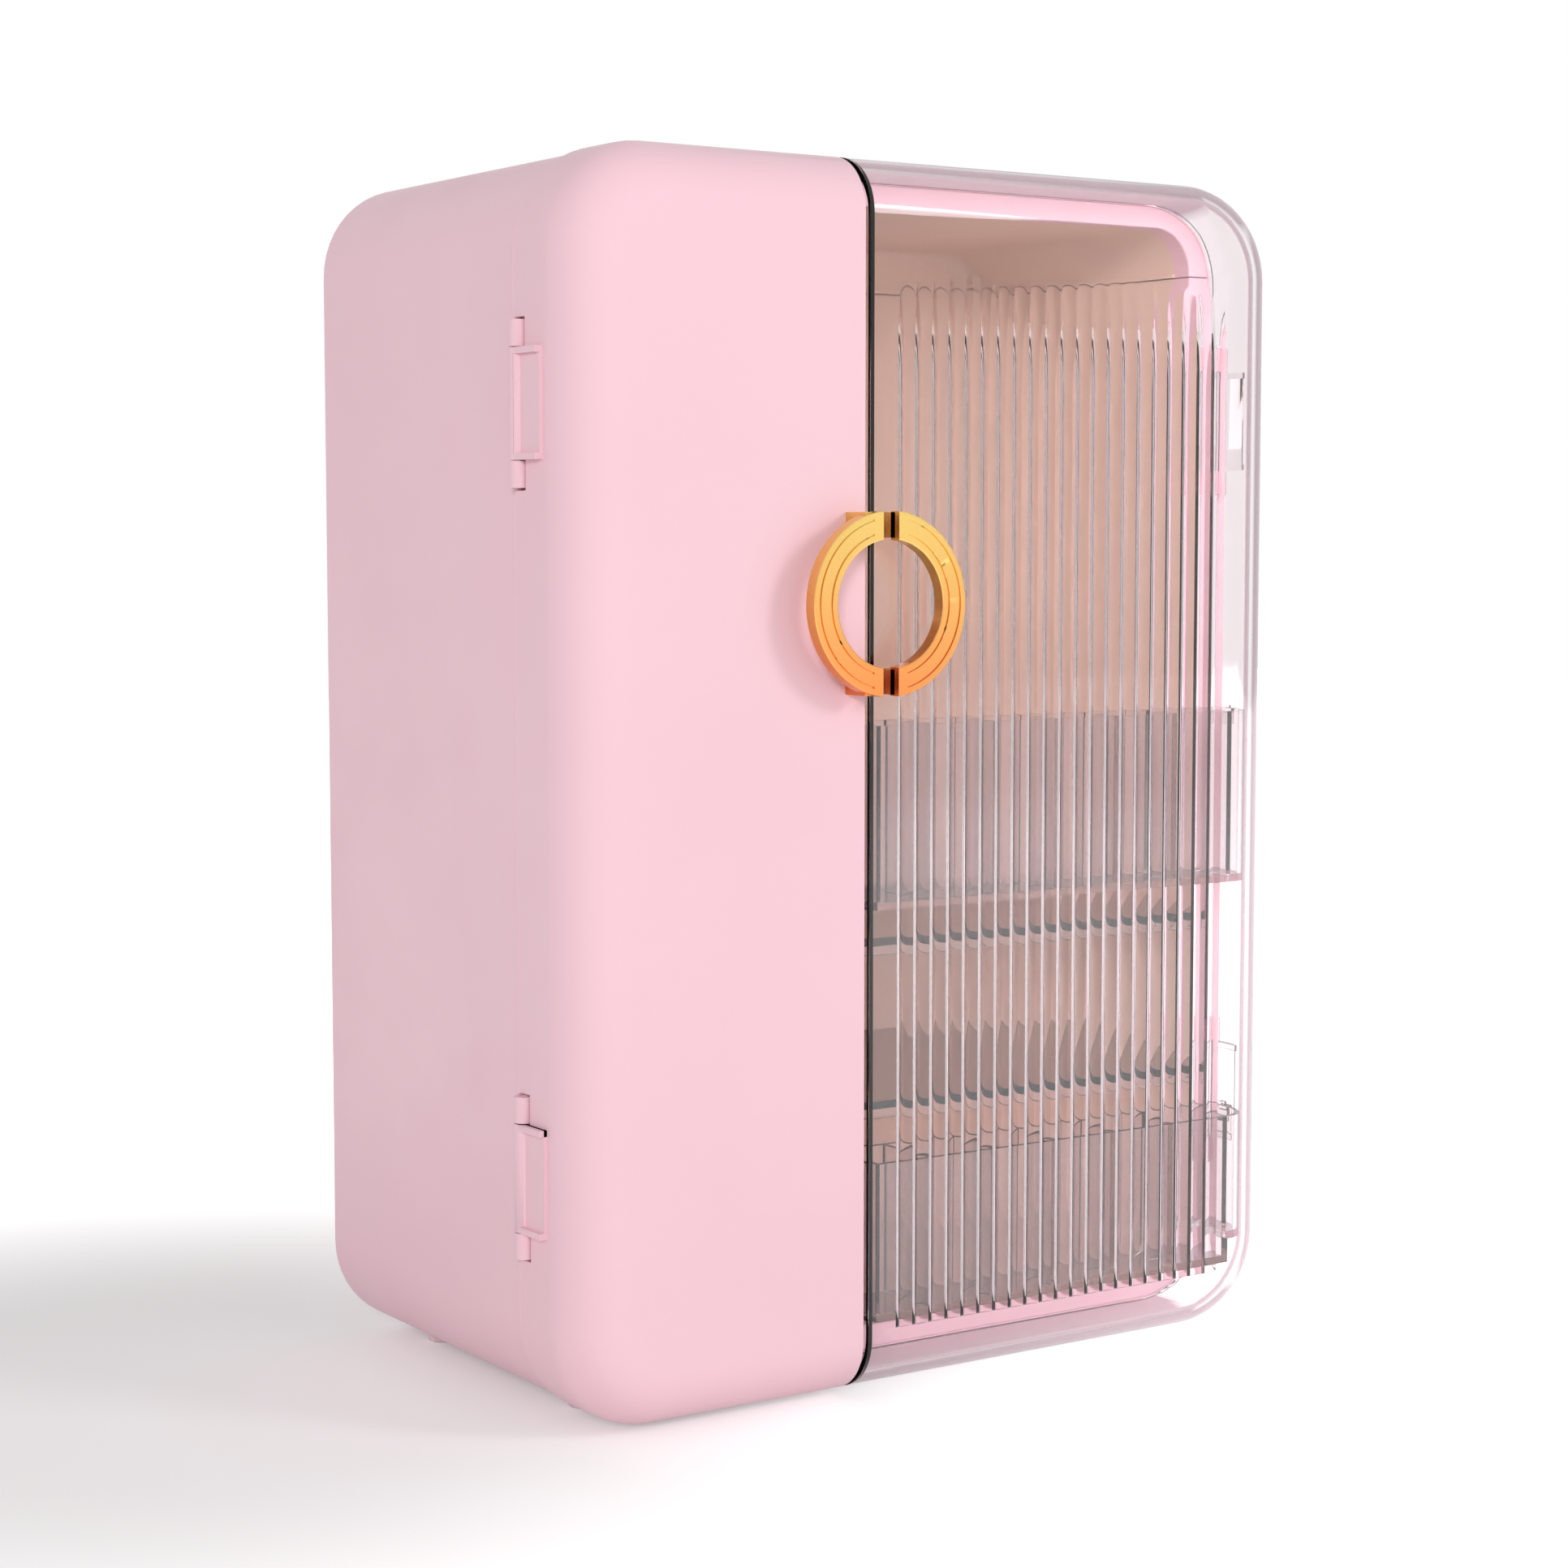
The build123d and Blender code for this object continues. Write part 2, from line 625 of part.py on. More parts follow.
def catch_magnets():
    """Bars behind the rim, above and below the opening, where the doors meet."""
    x0, x1 = SPLIT_X - MAGNET_L / 2, SPLIT_X + MAGNET_L / 2
    y0 = SEAM_Y + RIM_T
    middle = (SHELL_T + SEAT + RIM_W - LIP_T) / 2
    places = (BASE_Z + middle, TOP_Z - middle)
    return [box(x0, x1, y0, y0 + MAGNET_T, z - MAGNET_H / 2, z + MAGNET_H / 2) for z in places]


def save(name, made):
    """Write one node, which may be several separate solids."""
    solids = made if isinstance(made, list) else [made]
    shape = solids[0] if len(solids) == 1 else Compound(children=[Part(s.wrapped) for s in solids])
    export_step(shape, os.path.join("parts", name + ".step"))


def main():
    os.makedirs("parts", exist_ok=True)
    save("cabinet_shell", cabinet_shell())
    save("front_frame", front_frame())
    save("front_frame_top", front_frame_top())
    save("inner_liner", inner_liner())
    save("ceiling_liner", ceiling_liner())
    save("back_panel", back_panel())
    save("back_panel_screws", back_panel_screws())
    save("rubber_feet", rubber_feet())
    save("shelf_pegs", shelf_pegs())
    save("leaf_screws", leaf_screws())
    save("catch_magnets", catch_magnets())
    for name, top in SHELF_TOPS.items():
        save(name, shelf(top))
    shell, pane = clear_door()
    save("left_door_shell", door_shell(-1))
    save("right_door_shell", shell)
    save("right_door_pane", pane)
    for word, side in (("left", -1), ("right", 1)):
        hinges = [(s, z) for s, z in hinge_sides() if s == side]
        save(word + "_hinge_leaves", [hinge_leaf(s, z) for s, z in hinges])
        save(word + "_hinge_pins", [hinge_pin(s, z) for s, z in hinges])
        save(word + "_hinge_arms", [hinge_arm(s, z) for s, z in hinges])
        save(word + "_seam_strip", seam_strip(side))
        save(word + "_pull", pull(side))
        save(word + "_pull_screws", pull_screws(side))
        save(word + "_tray_ledges", tray_ledges(side))
        for level in TRAYS:
            save(word + "_" + level + "_tray", tray(side, level))


main()
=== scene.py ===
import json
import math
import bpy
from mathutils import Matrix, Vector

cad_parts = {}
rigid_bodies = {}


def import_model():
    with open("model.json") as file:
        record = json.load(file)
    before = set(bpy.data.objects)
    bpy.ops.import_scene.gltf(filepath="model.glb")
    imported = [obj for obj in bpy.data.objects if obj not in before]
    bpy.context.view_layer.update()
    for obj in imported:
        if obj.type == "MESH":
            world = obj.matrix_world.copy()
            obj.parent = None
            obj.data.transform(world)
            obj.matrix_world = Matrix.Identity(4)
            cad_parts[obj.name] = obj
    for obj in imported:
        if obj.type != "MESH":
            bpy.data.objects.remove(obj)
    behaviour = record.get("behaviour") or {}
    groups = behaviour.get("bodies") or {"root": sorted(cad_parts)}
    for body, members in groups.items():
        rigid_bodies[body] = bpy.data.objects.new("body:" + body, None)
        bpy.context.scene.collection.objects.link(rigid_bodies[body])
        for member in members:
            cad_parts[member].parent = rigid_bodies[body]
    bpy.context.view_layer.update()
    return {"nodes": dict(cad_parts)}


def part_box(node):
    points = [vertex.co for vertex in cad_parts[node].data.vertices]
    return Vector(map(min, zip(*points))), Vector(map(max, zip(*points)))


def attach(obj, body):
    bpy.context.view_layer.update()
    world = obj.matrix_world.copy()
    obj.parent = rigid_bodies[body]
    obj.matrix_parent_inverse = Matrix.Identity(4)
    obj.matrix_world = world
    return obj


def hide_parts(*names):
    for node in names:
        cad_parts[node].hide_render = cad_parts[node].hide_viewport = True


bl_info = {
    "name": "Cosmetics cabinet",
    "version": (1, 0, 0),
    "blender": (4, 5, 0),
    "location": "3D View > Sidebar > Cabinet",
    "description": "A two-door cosmetics cabinet with a fluted clear door, trays and a split ring pull",
    "category": "Object",
}

import bmesh
import bpy
from bpy.props import FloatProperty, FloatVectorProperty, PointerProperty
from mathutils import Matrix, Vector

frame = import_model()

SHELL_LOW, SHELL_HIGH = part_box("cabinet_shell")
DOOR_LOW, DOOR_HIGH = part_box("right_door_shell")
PULL_LOW, PULL_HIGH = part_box("left_pull")
SIDES = (("left", -1), ("right", 1))
TRAY_LEVELS = ("upper", "lower")
CORNER_STEPS = 12
ROUND_STEPS = 14
RING_STEPS = 96
FLUTE_STEPS, FLUTE_ROWS = 10, 60
SHARP = math.radians(32)

# Sizes in metres that no field in the sidebar sets
PAST = 0.001  # a cutter reaches this far past the face that it opens
FAR_PAST = 0.002  # and this far past an open end
OVERLAP = 0.0005  # a joined block sinks this far into its neighbour
BLOCK_BACK, BLOCK_FACE = 0.004, 0.002  # where the flat caps of the doors' block begin
LINER_FLAT, PANEL_FLAT = 0.012, 0.01  # where the flat parts of liner and back panel begin, from their edges
LINER_SET = 0.008  # from the shell's back edge to the liner's
LINER_EASE = 0.001  # rounding of the liner's outer back edge
PANEL_EASES = (0.0003, 0.0006)  # rounding of the back panel's inner and outer edge
FINE_EASE = 0.0002  # rounding of the back panel's holes and the ceiling's bead
DOOR_EASE = 0.0003  # rounding of cut edges on doors and hinge arms
LEAF_EASE = 0.00035
STRIP_EASE = 0.00015
RING_EASE = 0.00018
SHELF_EASE = 0.0005
SHELF_PLATE = 0.003
SHELF_LIP = 0.0025  # depth of a shelf's front lip
SHELF_LIP_TOP = 0.001  # the lip joins the plate this far below its top
FOOT_SUNK = 0.0012  # the feet end this far inside the shell
FOOT_EASE = 0.0009
FOOT_CORE = 0.001  # radius where the flat of a foot begins
FOOT_STEPS = 40
SCREW_HEAD = 0.0018  # height of a screw's head
SCREW_SHANK = 0.00125  # radius of shanks and of the leaves' bore
SCREW_SHORT = 0.0006  # the shanks end this far before the solids' own
SCREW_SLOT_WIDTH, SCREW_SLOT_DEPTH = 0.0006, 0.0007
SUNK_HOLE, SUNK_DEPTH = 0.0027, 0.004  # holes for the back panel's screw heads
LEAF_PLATE = 0.002
KNUCKLE_LENGTH = 0.0083
ARM_BORE = 0.0013
ARM_PLATE = 0.0011  # how far an arm's plate stands out of the door's side
ARM_TAB = 0.0028  # and its tabs
TAB_HEIGHT = 0.002
ARM_CLEAR, ARM_SUNK = 0.00003, 0.0002  # a clear arm stands off its door, and a pink one sinks into it
TOOTH_GAP = 0.0026  # room in a tray's end lip for the ledge's tooth
TOUCHING = 1e-5

# Lamps, in metres
KEY_SPOT, KEY_SIZE = (1.1, -1.8, 1.0), 0.6
FILL_SPOT, FILL_SIZE = (-1.6, -2.0, 0.9), 0.5
LIT_SPOT = (0.0, 0.0, 0.2)
SKY_LOW, SKY_HIGH = 0.15, 0.85  # upward part of the directions between which the sky fades
FLOOR_WHITE = (0.9, 0.9, 0.9, 1)
SHADE_BORDER_FULL = 0.7  # the painted edge shade is full within this share of the border, and fades beyond it


def length(name, default, description):
    """A size in metres."""
    return FloatProperty(
        name=name, description=description, default=default, min=0.0,
        precision=4, subtype="DISTANCE", unit="LENGTH",
    )


def place(name, default, description):
    """A coordinate in metres, which may be negative."""
    return FloatProperty(
        name=name, description=description, default=default, precision=4, subtype="DISTANCE", unit="LENGTH"
    )


def colour(name, default, description):
    return FloatVectorProperty(
        name=name, description=description, default=default, size=3, min=0.0, max=1.0, subtype="COLOR_GAMMA"
    )


def share(name, default, description):
    return FloatProperty(
        name=name, description=description, default=default, min=0.0, max=1.0, subtype="FACTOR"
    )


def strength(name, default, description):
    return FloatProperty(name=name, description=description, default=default, min=0.0)


def power(name, default):
    return FloatProperty(
        name=name, description="Power in watts", default=default, min=0.0, subtype="POWER"
    )


def angle(name, degrees, description):
    return FloatProperty(
        name=name, description=description, default=math.radians(degrees),
        subtype="ANGLE", unit="ROTATION",
    )


class CabinetBodySizes(bpy.types.PropertyGroup):
    """The fixed box of the cabinet."""

    corner: length("Corner radius", 0.032, "Outside corners seen from the front")
    wall: length("Shell wall", 0.0024, "Wall of the outer shell")
    rim: length("Rim width", 0.0115, "From the outside to the edge of the opening")
    rim_plate: length("Rim plate", 0.003, "Thickness of the rim's flat plate")
    rim_lip: length("Rim lip", 0.0022, "Wall of the lip that lines the opening")
    opening_corner: length("Opening radius", 0.016, "Corners of the opening")
    reveal: length("Reveal", 0.008, "Depth of the rim's lip")
    liner_wall: length("Liner wall", 0.002, "Wall of the inner box")
    liner_corner: length("Liner back radius", 0.004, "Where the inner side walls meet the inner back wall")
    bead: length("Bead", 0.0008, "How far the bead stands out under the ceiling")
    bead_height: length("Bead height", 0.0015, "Height of that bead")
    ease: length("Edge rounding", 0.0005, "Small rounding of moulded edges")
    front_ease: length("Shell front rounding", 0.0018, "Rounding of the outer shell's front edge")
    pink: colour("Pink", (0.968, 0.807, 0.847), "Shell, rim and narrow door")
    # The inside colour is partly the liner's own colour and partly painted light: it is warmer than the pink
    # to paint in the warm light bounced off the pink walls.
    inside: colour("Inside", (0.95, 0.84, 0.77), "Walls of the inside")


class CabinetDoorSizes(bpy.types.PropertyGroup):
    """The two doors."""

    over: length("Overhang", 0.001, "How far the doors stand outside the body")
    rounding: length("Front rounding", 0.019, "Rounding between a door's front and its sides")
    rear_ease: length("Rear rounding", 0.0006, "Small rounding of the outer back edge")
    wall: length("Door wall", 0.0032, "Wall of both doors")
    end_wall: length("End wall", 0.0028, "Wall at the meeting edge")
    notch_gap: length("Hinge notch gap", 0.0008, "Room round each hinge in a door's side")
    knuckle: length("Knuckle radius", 0.0031, "Outside radius of knuckles and barrels")
    flute_pitch: length("Flute pitch", 0.00665, "Width of one flute")
    flute_depth: length("Flute depth", 0.001, "How far a flute stands out of the panel")
    flute_start: length("Flute start", 0.0123, "From the meeting edge to the first flute")
    flute_low: length("Flute foot", 0.02, "Lower end of the flutes over the body's bottom")
    flute_drop: length("Flute drop", 0.033, "Upper end of the flutes below the body's top")
    flute_fade: length("Flute fade", 0.032, "Length over which the upper ends rise out of the panel")
    strip_inset: length("Strip inset", 0.0008, "How far the black strips lie inside the doors' outline")
    strip_set: length("Strip set back", 0.0032, "How far the black strips lie behind the doors' front")
    strip_width: length("Strip width", 0.0014, "Width of the black strips")
    screw_head: length("Screw hole radius", 0.0016, "Holes for the pull's screws")
    clear: colour("Clear tint", (0.995, 0.985, 0.99), "Surface tint of the clear door")
    # The edge tint is painted shade: the dark surroundings seen through the door's edges, painted into its
    # colour.
    edge: colour("Edge tint", (0.56, 0.43, 0.48), "Tint of clear plastic seen along its surface")
    depth_tint: colour("Depth tint", (0.74, 0.62, 0.65), "Colour that thick clear plastic takes on")
    depth_strength: strength("Depth strength", 22.0, "How fast thick clear plastic takes on its colour")


class CabinetTraySizes(bpy.types.PropertyGroup):
    """Bins that hang in the doors."""

    wall: length("Tray wall", 0.002, "Walls and dividers")
    floor: length("Tray floor", 0.0024, "Floor of a tray")
    end_cell: length("End cell", 0.0108, "Inside width of the narrow end cell")
    pitch: length("Cell pitch", 0.02605, "From one divider to the next")
    least_cell: length("Least cell", 0.016, "No divider leaves a cell narrower than this")
    corner: length("Outer corner", 0.012, "Outer front corner")
    lip_reach: length("Lip reach", 0.0024, "How far the end lips stand out")
    lip: length("Lip thickness", 0.0016, "Thickness of the end lips")
    step: length("End step", 0.0084, "How much higher the lower tray's end cell stands")
    ease: length("Edge rounding", 0.0004, "Small rounding of the tray's edges")
    tint: colour("Tray tint", (0.98, 0.96, 0.965), "Surface tint of trays and shelves")
    # The tray edge tint is painted shade: the dark surroundings seen through the trays' edges, painted into
    # their colour.
    edge: colour("Tray edge tint", (0.42, 0.38, 0.40), "Tint of trays and shelves seen along their surface")


class CabinetPullSizes(bpy.types.PropertyGroup):
    """The split ring that opens the doors."""

    radius: length("Ring radius", 0.0295, "Outside radius")
    band: length("Band", 0.0091, "Width of the flat band")
    thick: length("Thickness", 0.0046, "Thickness of the flat band")
    split: length("Split", 0.006, "Gap between the halves")
    post: length("Post width", 0.0056, "Width of the posts")
    post_set: length("Post set", 0.0005, "The post's ends inside the ring's edges")
    groove: length("Groove width", 0.0006, "Width of the two grooves")
    groove_deep: length("Groove depth", 0.0005, "Depth of the two grooves")
    groove_outer: length("Outer groove", 0.0023, "From the ring's outer edge")
    groove_inner: length("Inner groove", 0.0067, "From the ring's outer edge")
    groove_end: length("Groove end", 0.0065, "The grooves stop this far from the ring's middle")
    ease: length("Edge rounding", 0.00035, "Small rounding of the ring's edges")
    # The two golds paint light on the ring: the upper one lit from above, the lower one darker and warmer as
    # painted shade.
    gold: colour("Gold", (0.93, 0.79, 0.46), "Upper end of the ring")
    painted_shade_gold: colour("Warm gold", (0.90, 0.54, 0.31), "Lower end of the ring")


class CabinetStageSizes(bpy.types.PropertyGroup):
    """Camera, lamps and floor."""

    camera_x: place("Camera X", -0.6046, "Camera place")
    camera_y: place("Camera Y", -0.8830, "Camera place")
    camera_z: place("Camera Z", 0.2837, "Camera place")
    turn: angle("Turn", 33.794, "Camera azimuth")
    tilt: angle("Tilt", 4.6457, "How far the camera looks down")
    lens: FloatProperty(name="Lens", description="Focal length in millimetres", default=70.47, min=10.0)
    floor_size: length("Floor", 8.0, "Side of the floor")
    key: power("Key lamp", 11.0)
    fill: power("Fill lamp", 22.0)
    sky: strength("Sky", 0.74, "Strength of the even light from the sides")
    zenith: strength("Zenith", 0.3, "Strength of the light from above")
    # The near fields paint a shadow into the floor's glow, left of the cabinet.
    near_glow: share("Near glow", 0.2, "Share of the floor's white that stays in the shadow")
    near_x: place("Near X", -0.22, "Middle of the shadowed floor, left of the cabinet")
    near_y: place("Near Y", 0.07, "Middle of the shadowed floor, left of the cabinet")
    near: length("Near", 0.1, "Reach of the near glow")
    far: length("Far", 0.46, "From here the floor is plain white")


# Mesh helpers


def eased(points, radii, steps=3, closed=False):
    """A profile with a quarter round in each right-angled corner; a radius of 0 keeps the corner."""
    made = []
    count = len(points)
    for i, point in enumerate(points):
        radius = radii[i]
        if radius <= 0 or (not closed and i in (0, count - 1)):
            made.append(point)
            continue
        start = point + (points[i - 1] - point).normalized() * radius
        end = point + (points[(i + 1) % count] - point).normalized() * radius
        middle = start + end - point
        for k in range(steps + 1):
            angle = math.pi / 2 * k / steps
            made.append(middle + (start - middle) * math.cos(angle) + (end - middle) * math.sin(angle))
    return made


def turns(steps):
    """Even angles once round."""
    return [2 * math.pi * k / steps for k in range(steps)]


def body_ring(inset, y, corner):
    """The cabinet's rounded outline drawn in by inset, at depth y."""
    half_w = (SHELL_HIGH.x - SHELL_LOW.x) / 2 - inset
    half_h = (SHELL_HIGH.z - SHELL_LOW.z) / 2 - inset
    middle = (SHELL_HIGH.z + SHELL_LOW.z) / 2
    ring = []
    for quarter, (sx, sz) in enumerate(((1, 1), (-1, 1), (-1, -1), (1, -1))):
        for k in range(CORNER_STEPS + 1):
            angle = math.pi / 2 * (quarter + k / CORNER_STEPS)
            x = sx * (half_w - corner) + corner * math.cos(angle)
            z = middle + sz * (half_h - corner) + corner * math.sin(angle)
            ring.append(Vector((x, y, z)))
    return ring


def loft(rings, closed=False):
    """A closed mesh through rings of equal count, capped at its ends unless the rings meet."""
    bm = bmesh.new()
    rows = [[bm.verts.new(point) for point in ring] for ring in rings]
    following = rows[1:] + rows[:1] if closed else rows[1:]
    for row, after in zip(rows, following):
        for i in range(len(row)):
            j = (i + 1) % len(row)
            bm.faces.new((row[i], row[j], after[j], after[i]))
    if not closed:
        bm.faces.new(rows[0])
        bm.faces.new(rows[-1])
    bmesh.ops.recalc_face_normals(bm, faces=bm.faces)
    return bm


def cut(bm, point, normal):
    """Keep what lies behind a plane, and close the cut."""
    geometry = bm.verts[:] + bm.edges[:] + bm.faces[:]
    bmesh.ops.bisect_plane(bm, geom=geometry, plane_co=point, plane_no=normal, clear_outer=True)
    bmesh.ops.holes_fill(bm, edges=[e for e in bm.edges if e.is_boundary], sides=0)
    bmesh.ops.recalc_face_normals(bm, faces=bm.faces)
    return bm


def block(low, high):
    """A plain box between two corners, to be joined, cut or bevelled."""
    bm = bmesh.new()
    size = Vector(high) - Vector(low)
    matrix = Matrix.Translation((Vector(low) + Vector(high)) / 2) @ Matrix.Diagonal((*size, 1))
    bmesh.ops.create_cube(bm, size=1, matrix=matrix)
    return bm


def rod(radius, start, end, steps=32):
    """A round rod between two points."""
    bm = bmesh.new()
    along = Vector(end) - Vector(start)
    turn = along.to_track_quat("Z", "Y").to_matrix().to_4x4()
    matrix = Matrix.Translation((Vector(start) + Vector(end)) / 2) @ turn
    bmesh.ops.create_cone(
        bm, cap_ends=True, segments=steps, radius1=radius, radius2=radius, depth=along.length, matrix=matrix
    )
    return bm


def joined(meshes):
    """Several separate meshes as one."""
    bm = bmesh.new()
    for other in meshes:
        mesh = bpy.data.meshes.new("part")
        other.to_mesh(mesh)
        bm.from_mesh(mesh)
        bpy.data.meshes.remove(mesh)
        other.free()
    return bm


def new_object(name, bm):
    mesh = bpy.data.meshes.new(name)
    bm.to_mesh(mesh)
    bm.free()
    obj = bpy.data.objects.new(name, mesh)
    bpy.context.scene.collection.objects.link(obj)
    return obj


def plain(obj):
    """Apply an object's modifiers and take them away."""
    graph = bpy.context.evaluated_depsgraph_get()
    mesh = bpy.data.meshes.new_from_object(obj.evaluated_get(graph))
    obj.modifiers.clear()
    obj.data = mesh
    return obj


def carve(obj, tool, operation):
    """Join a mesh to an object, or cut it out of it."""
    cutter = new_object("cutter", tool)
    boolean = obj.modifiers.new("boolean", "BOOLEAN")
    boolean.operation = operation
    boolean.solver = "EXACT"
    boolean.object = cutter
    plain(obj)
    bpy.data.objects.remove(cutter)
    if not obj.data.polygons:
        raise RuntimeError(obj.name + " came out empty")
    return obj


def soften(obj, width):
    """Round the sharp edges and shade the rest smooth."""
    if width > 0:
        bevel = obj.modifiers.new("bevel", "BEVEL")
        bevel.width = width
        bevel.segments = 2
        bevel.limit_method = "ANGLE"
        bevel.angle_limit = SHARP
        bevel.use_clamp_overlap = True
        plain(obj)
    obj.data.polygons.foreach_set("use_smooth", [True] * len(obj.data.polygons))
    obj.data.set_sharp_from_angle(angle=SHARP)
    obj.modifiers.new("normals", "WEIGHTED_NORMAL").keep_sharp = True
    return plain(obj)


def dress(obj, material, body, *nodes, slot):
    """Finish a piece: its material, the body it moves with and the packed nodes it stands for."""
    obj.data.materials.clear()
    obj.data.materials.append(material)
    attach(obj, body)
    if nodes:
        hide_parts(*nodes)
    return obj


def paint(node, material):
    """Give a packed node its finish."""
    obj = frame["nodes"][node]
    obj.data.materials.clear()
    obj.data.materials.append(material)


# Materials


def linear(rgb):
    """A colour as it is seen, as the light that it sends back."""
    return (*[c / 12.92 if c <= 0.04045 else ((c + 0.055) / 1.055) ** 2.4 for c in rgb], 1.0)


class Finish:
    """A node material with its principled shader, and short ways to add to it."""

    def __init__(self, name):
        self.material = bpy.data.materials.new(name)
        self.material.use_nodes = True
        self.tree = self.material.node_tree
        self.tree.nodes.clear()
        self.output = self.add("ShaderNodeOutputMaterial")
        self.shader = self.add("ShaderNodeBsdfPrincipled")
        self.link(self.shader.outputs[0], self.output.inputs["Surface"])
        self.place = self.add("ShaderNodeTexCoord").outputs["Object"]

    def add(self, kind, **values):
        node = self.tree.nodes.new(kind)
        for key, value in values.items():
            setattr(node, key, value)
        return node

    def link(self, source, target):
        self.tree.links.new(source, target)

    def set(self, **values):
        for key, value in values.items():
            self.shader.inputs[key.replace("_", " ")].default_value = value

    def noise(self, scale, detail=2.0):
        """Noise in the object's own space, as a value from 0 to 1."""
        texture = self.add("ShaderNodeTexNoise")
        texture.inputs["Scale"].default_value = scale
        texture.inputs["Detail"].default_value = detail
        self.link(self.place, texture.inputs["Vector"])
        return texture.outputs["Fac"]

    def range(self, source, low, high, from_low=0.3, from_high=0.7):
        """A value between low and high that follows source."""
        node = self.add("ShaderNodeMapRange")
        node.inputs["From Min"].default_value = from_low
        node.inputs["From Max"].default_value = from_high
        node.inputs["To Min"].default_value = low
        node.inputs["To Max"].default_value = high
        self.link(source, node.inputs["Value"])
        return node.outputs["Result"]

    def calc(self, operation, *sources):
        node = self.add("ShaderNodeMath", operation=operation)
        for i, source in enumerate(sources):
            if isinstance(source, bpy.types.NodeSocket):
                self.link(source, node.inputs[i])
            else:
                node.inputs[i].default_value = source
        return node.outputs[0]

    def blend(self, source, first, second):
        """A colour between two, by source."""
        node = self.add("ShaderNodeMix", data_type="RGBA")
        node.inputs["A"].default_value = first
        node.inputs["B"].default_value = second
        for socket in node.inputs:
            if socket.name == "Factor" and socket.type == "VALUE":
                self.link(source, socket)
                break
        return [s for s in node.outputs if s.type == "RGBA"][0]

    def bump(self, source, strength, distance):
        node = self.add("ShaderNodeBump")
        node.inputs["Strength"].default_value = strength
        node.inputs["Distance"].default_value = distance
        self.link(source, node.inputs["Height"])
        self.link(node.outputs[0], self.shader.inputs["Normal"])


def darker(rgb, by):
    return tuple(c * by for c in rgb)


def moulded_plastic(name, rgb, roughness, grain):
    """Moulded opaque plastic: faint cloudiness, fine handling marks and a barely felt texture."""
    finish = Finish(name)
    finish.set(Specular_IOR_Level=0.45, IOR=1.49)
    cloud = finish.range(finish.noise(scale=9.0), 0.0, 1.0)
    base = finish.blend(cloud, linear(rgb), linear(darker(rgb, 0.985)))
    finish.link(base, finish.shader.inputs["Base Color"])
    wear = finish.range(finish.noise(scale=46.0, detail=6.0), roughness * 0.88, roughness * 1.15)
    finish.link(wear, finish.shader.inputs["Roughness"])
    finish.bump(finish.noise(scale=1400.0, detail=2.0), strength=grain, distance=0.0002)
    return finish.material


def clear_plastic(name, rgb, grazing_shade_rgb, ramp, depth_rgb, depth_strength, roughness, shade_border):
    """Clear acrylic: lamps pass it, and faint marks lie on it. Where it is seen along its surface its colour
    darkens: painted shade for the dark surroundings that its edges refract.

    With a border, this painted shade lies only that near to the door's outline, and the flutes stay clear.
    """
    finish = Finish(name)
    finish.set(Transmission_Weight=1.0, IOR=1.49)
    # Painted shade: the colour turns to the edge tint where the surface is seen at a grazing angle.
    grazing = finish.add("ShaderNodeLayerWeight")
    along = finish.range(grazing.outputs["Facing"], 0.0, 1.0, *ramp)
    if shade_border > 0:
        spot = finish.add("ShaderNodeSeparateXYZ")
        finish.link(finish.place, spot.inputs[0])
        middle = (DOOR_HIGH.z + DOOR_LOW.z) / 2
        right, top = DOOR_HIGH.x, DOOR_HIGH.z - middle
        height = finish.calc("ABSOLUTE", finish.calc("SUBTRACT", spot.outputs["Z"], middle))
        side = finish.range(spot.outputs["X"], 0.0, 1.0, right - shade_border, right - shade_border * SHADE_BORDER_FULL)
        ends = finish.range(height, 0.0, 1.0, top - shade_border, top - shade_border * SHADE_BORDER_FULL)
        along = finish.calc("MULTIPLY", along, finish.calc("MAXIMUM", side, ends))
    finish.link(finish.blend(along, linear(rgb), linear(grazing_shade_rgb)), finish.shader.inputs["Base Color"])
    marks = finish.range(finish.noise(scale=38.0, detail=5.0), roughness * 0.5, roughness * 1.6)
    finish.link(marks, finish.shader.inputs["Roughness"])
    finish.bump(finish.noise(scale=60.0, detail=1.0), strength=0.004, distance=0.0002)
    through = finish.add("ShaderNodeBsdfTransparent")
    through.inputs["Color"].default_value = linear(darker(rgb, 0.98))
    path = finish.add("ShaderNodeLightPath")
    mix = finish.add("ShaderNodeMixShader")
    finish.link(path.outputs["Is Shadow Ray"], mix.inputs[0])
    finish.link(finish.shader.outputs[0], mix.inputs[1])
    finish.link(through.outputs[0], mix.inputs[2])
    finish.link(mix.outputs[0], finish.output.inputs["Surface"])
    depth = finish.add("ShaderNodeVolumeAbsorption")
    depth.inputs["Color"].default_value = linear(depth_rgb)
    depth.inputs["Density"].default_value = depth_strength
    finish.link(depth.outputs[0], finish.output.inputs["Volume"])
    return finish.material


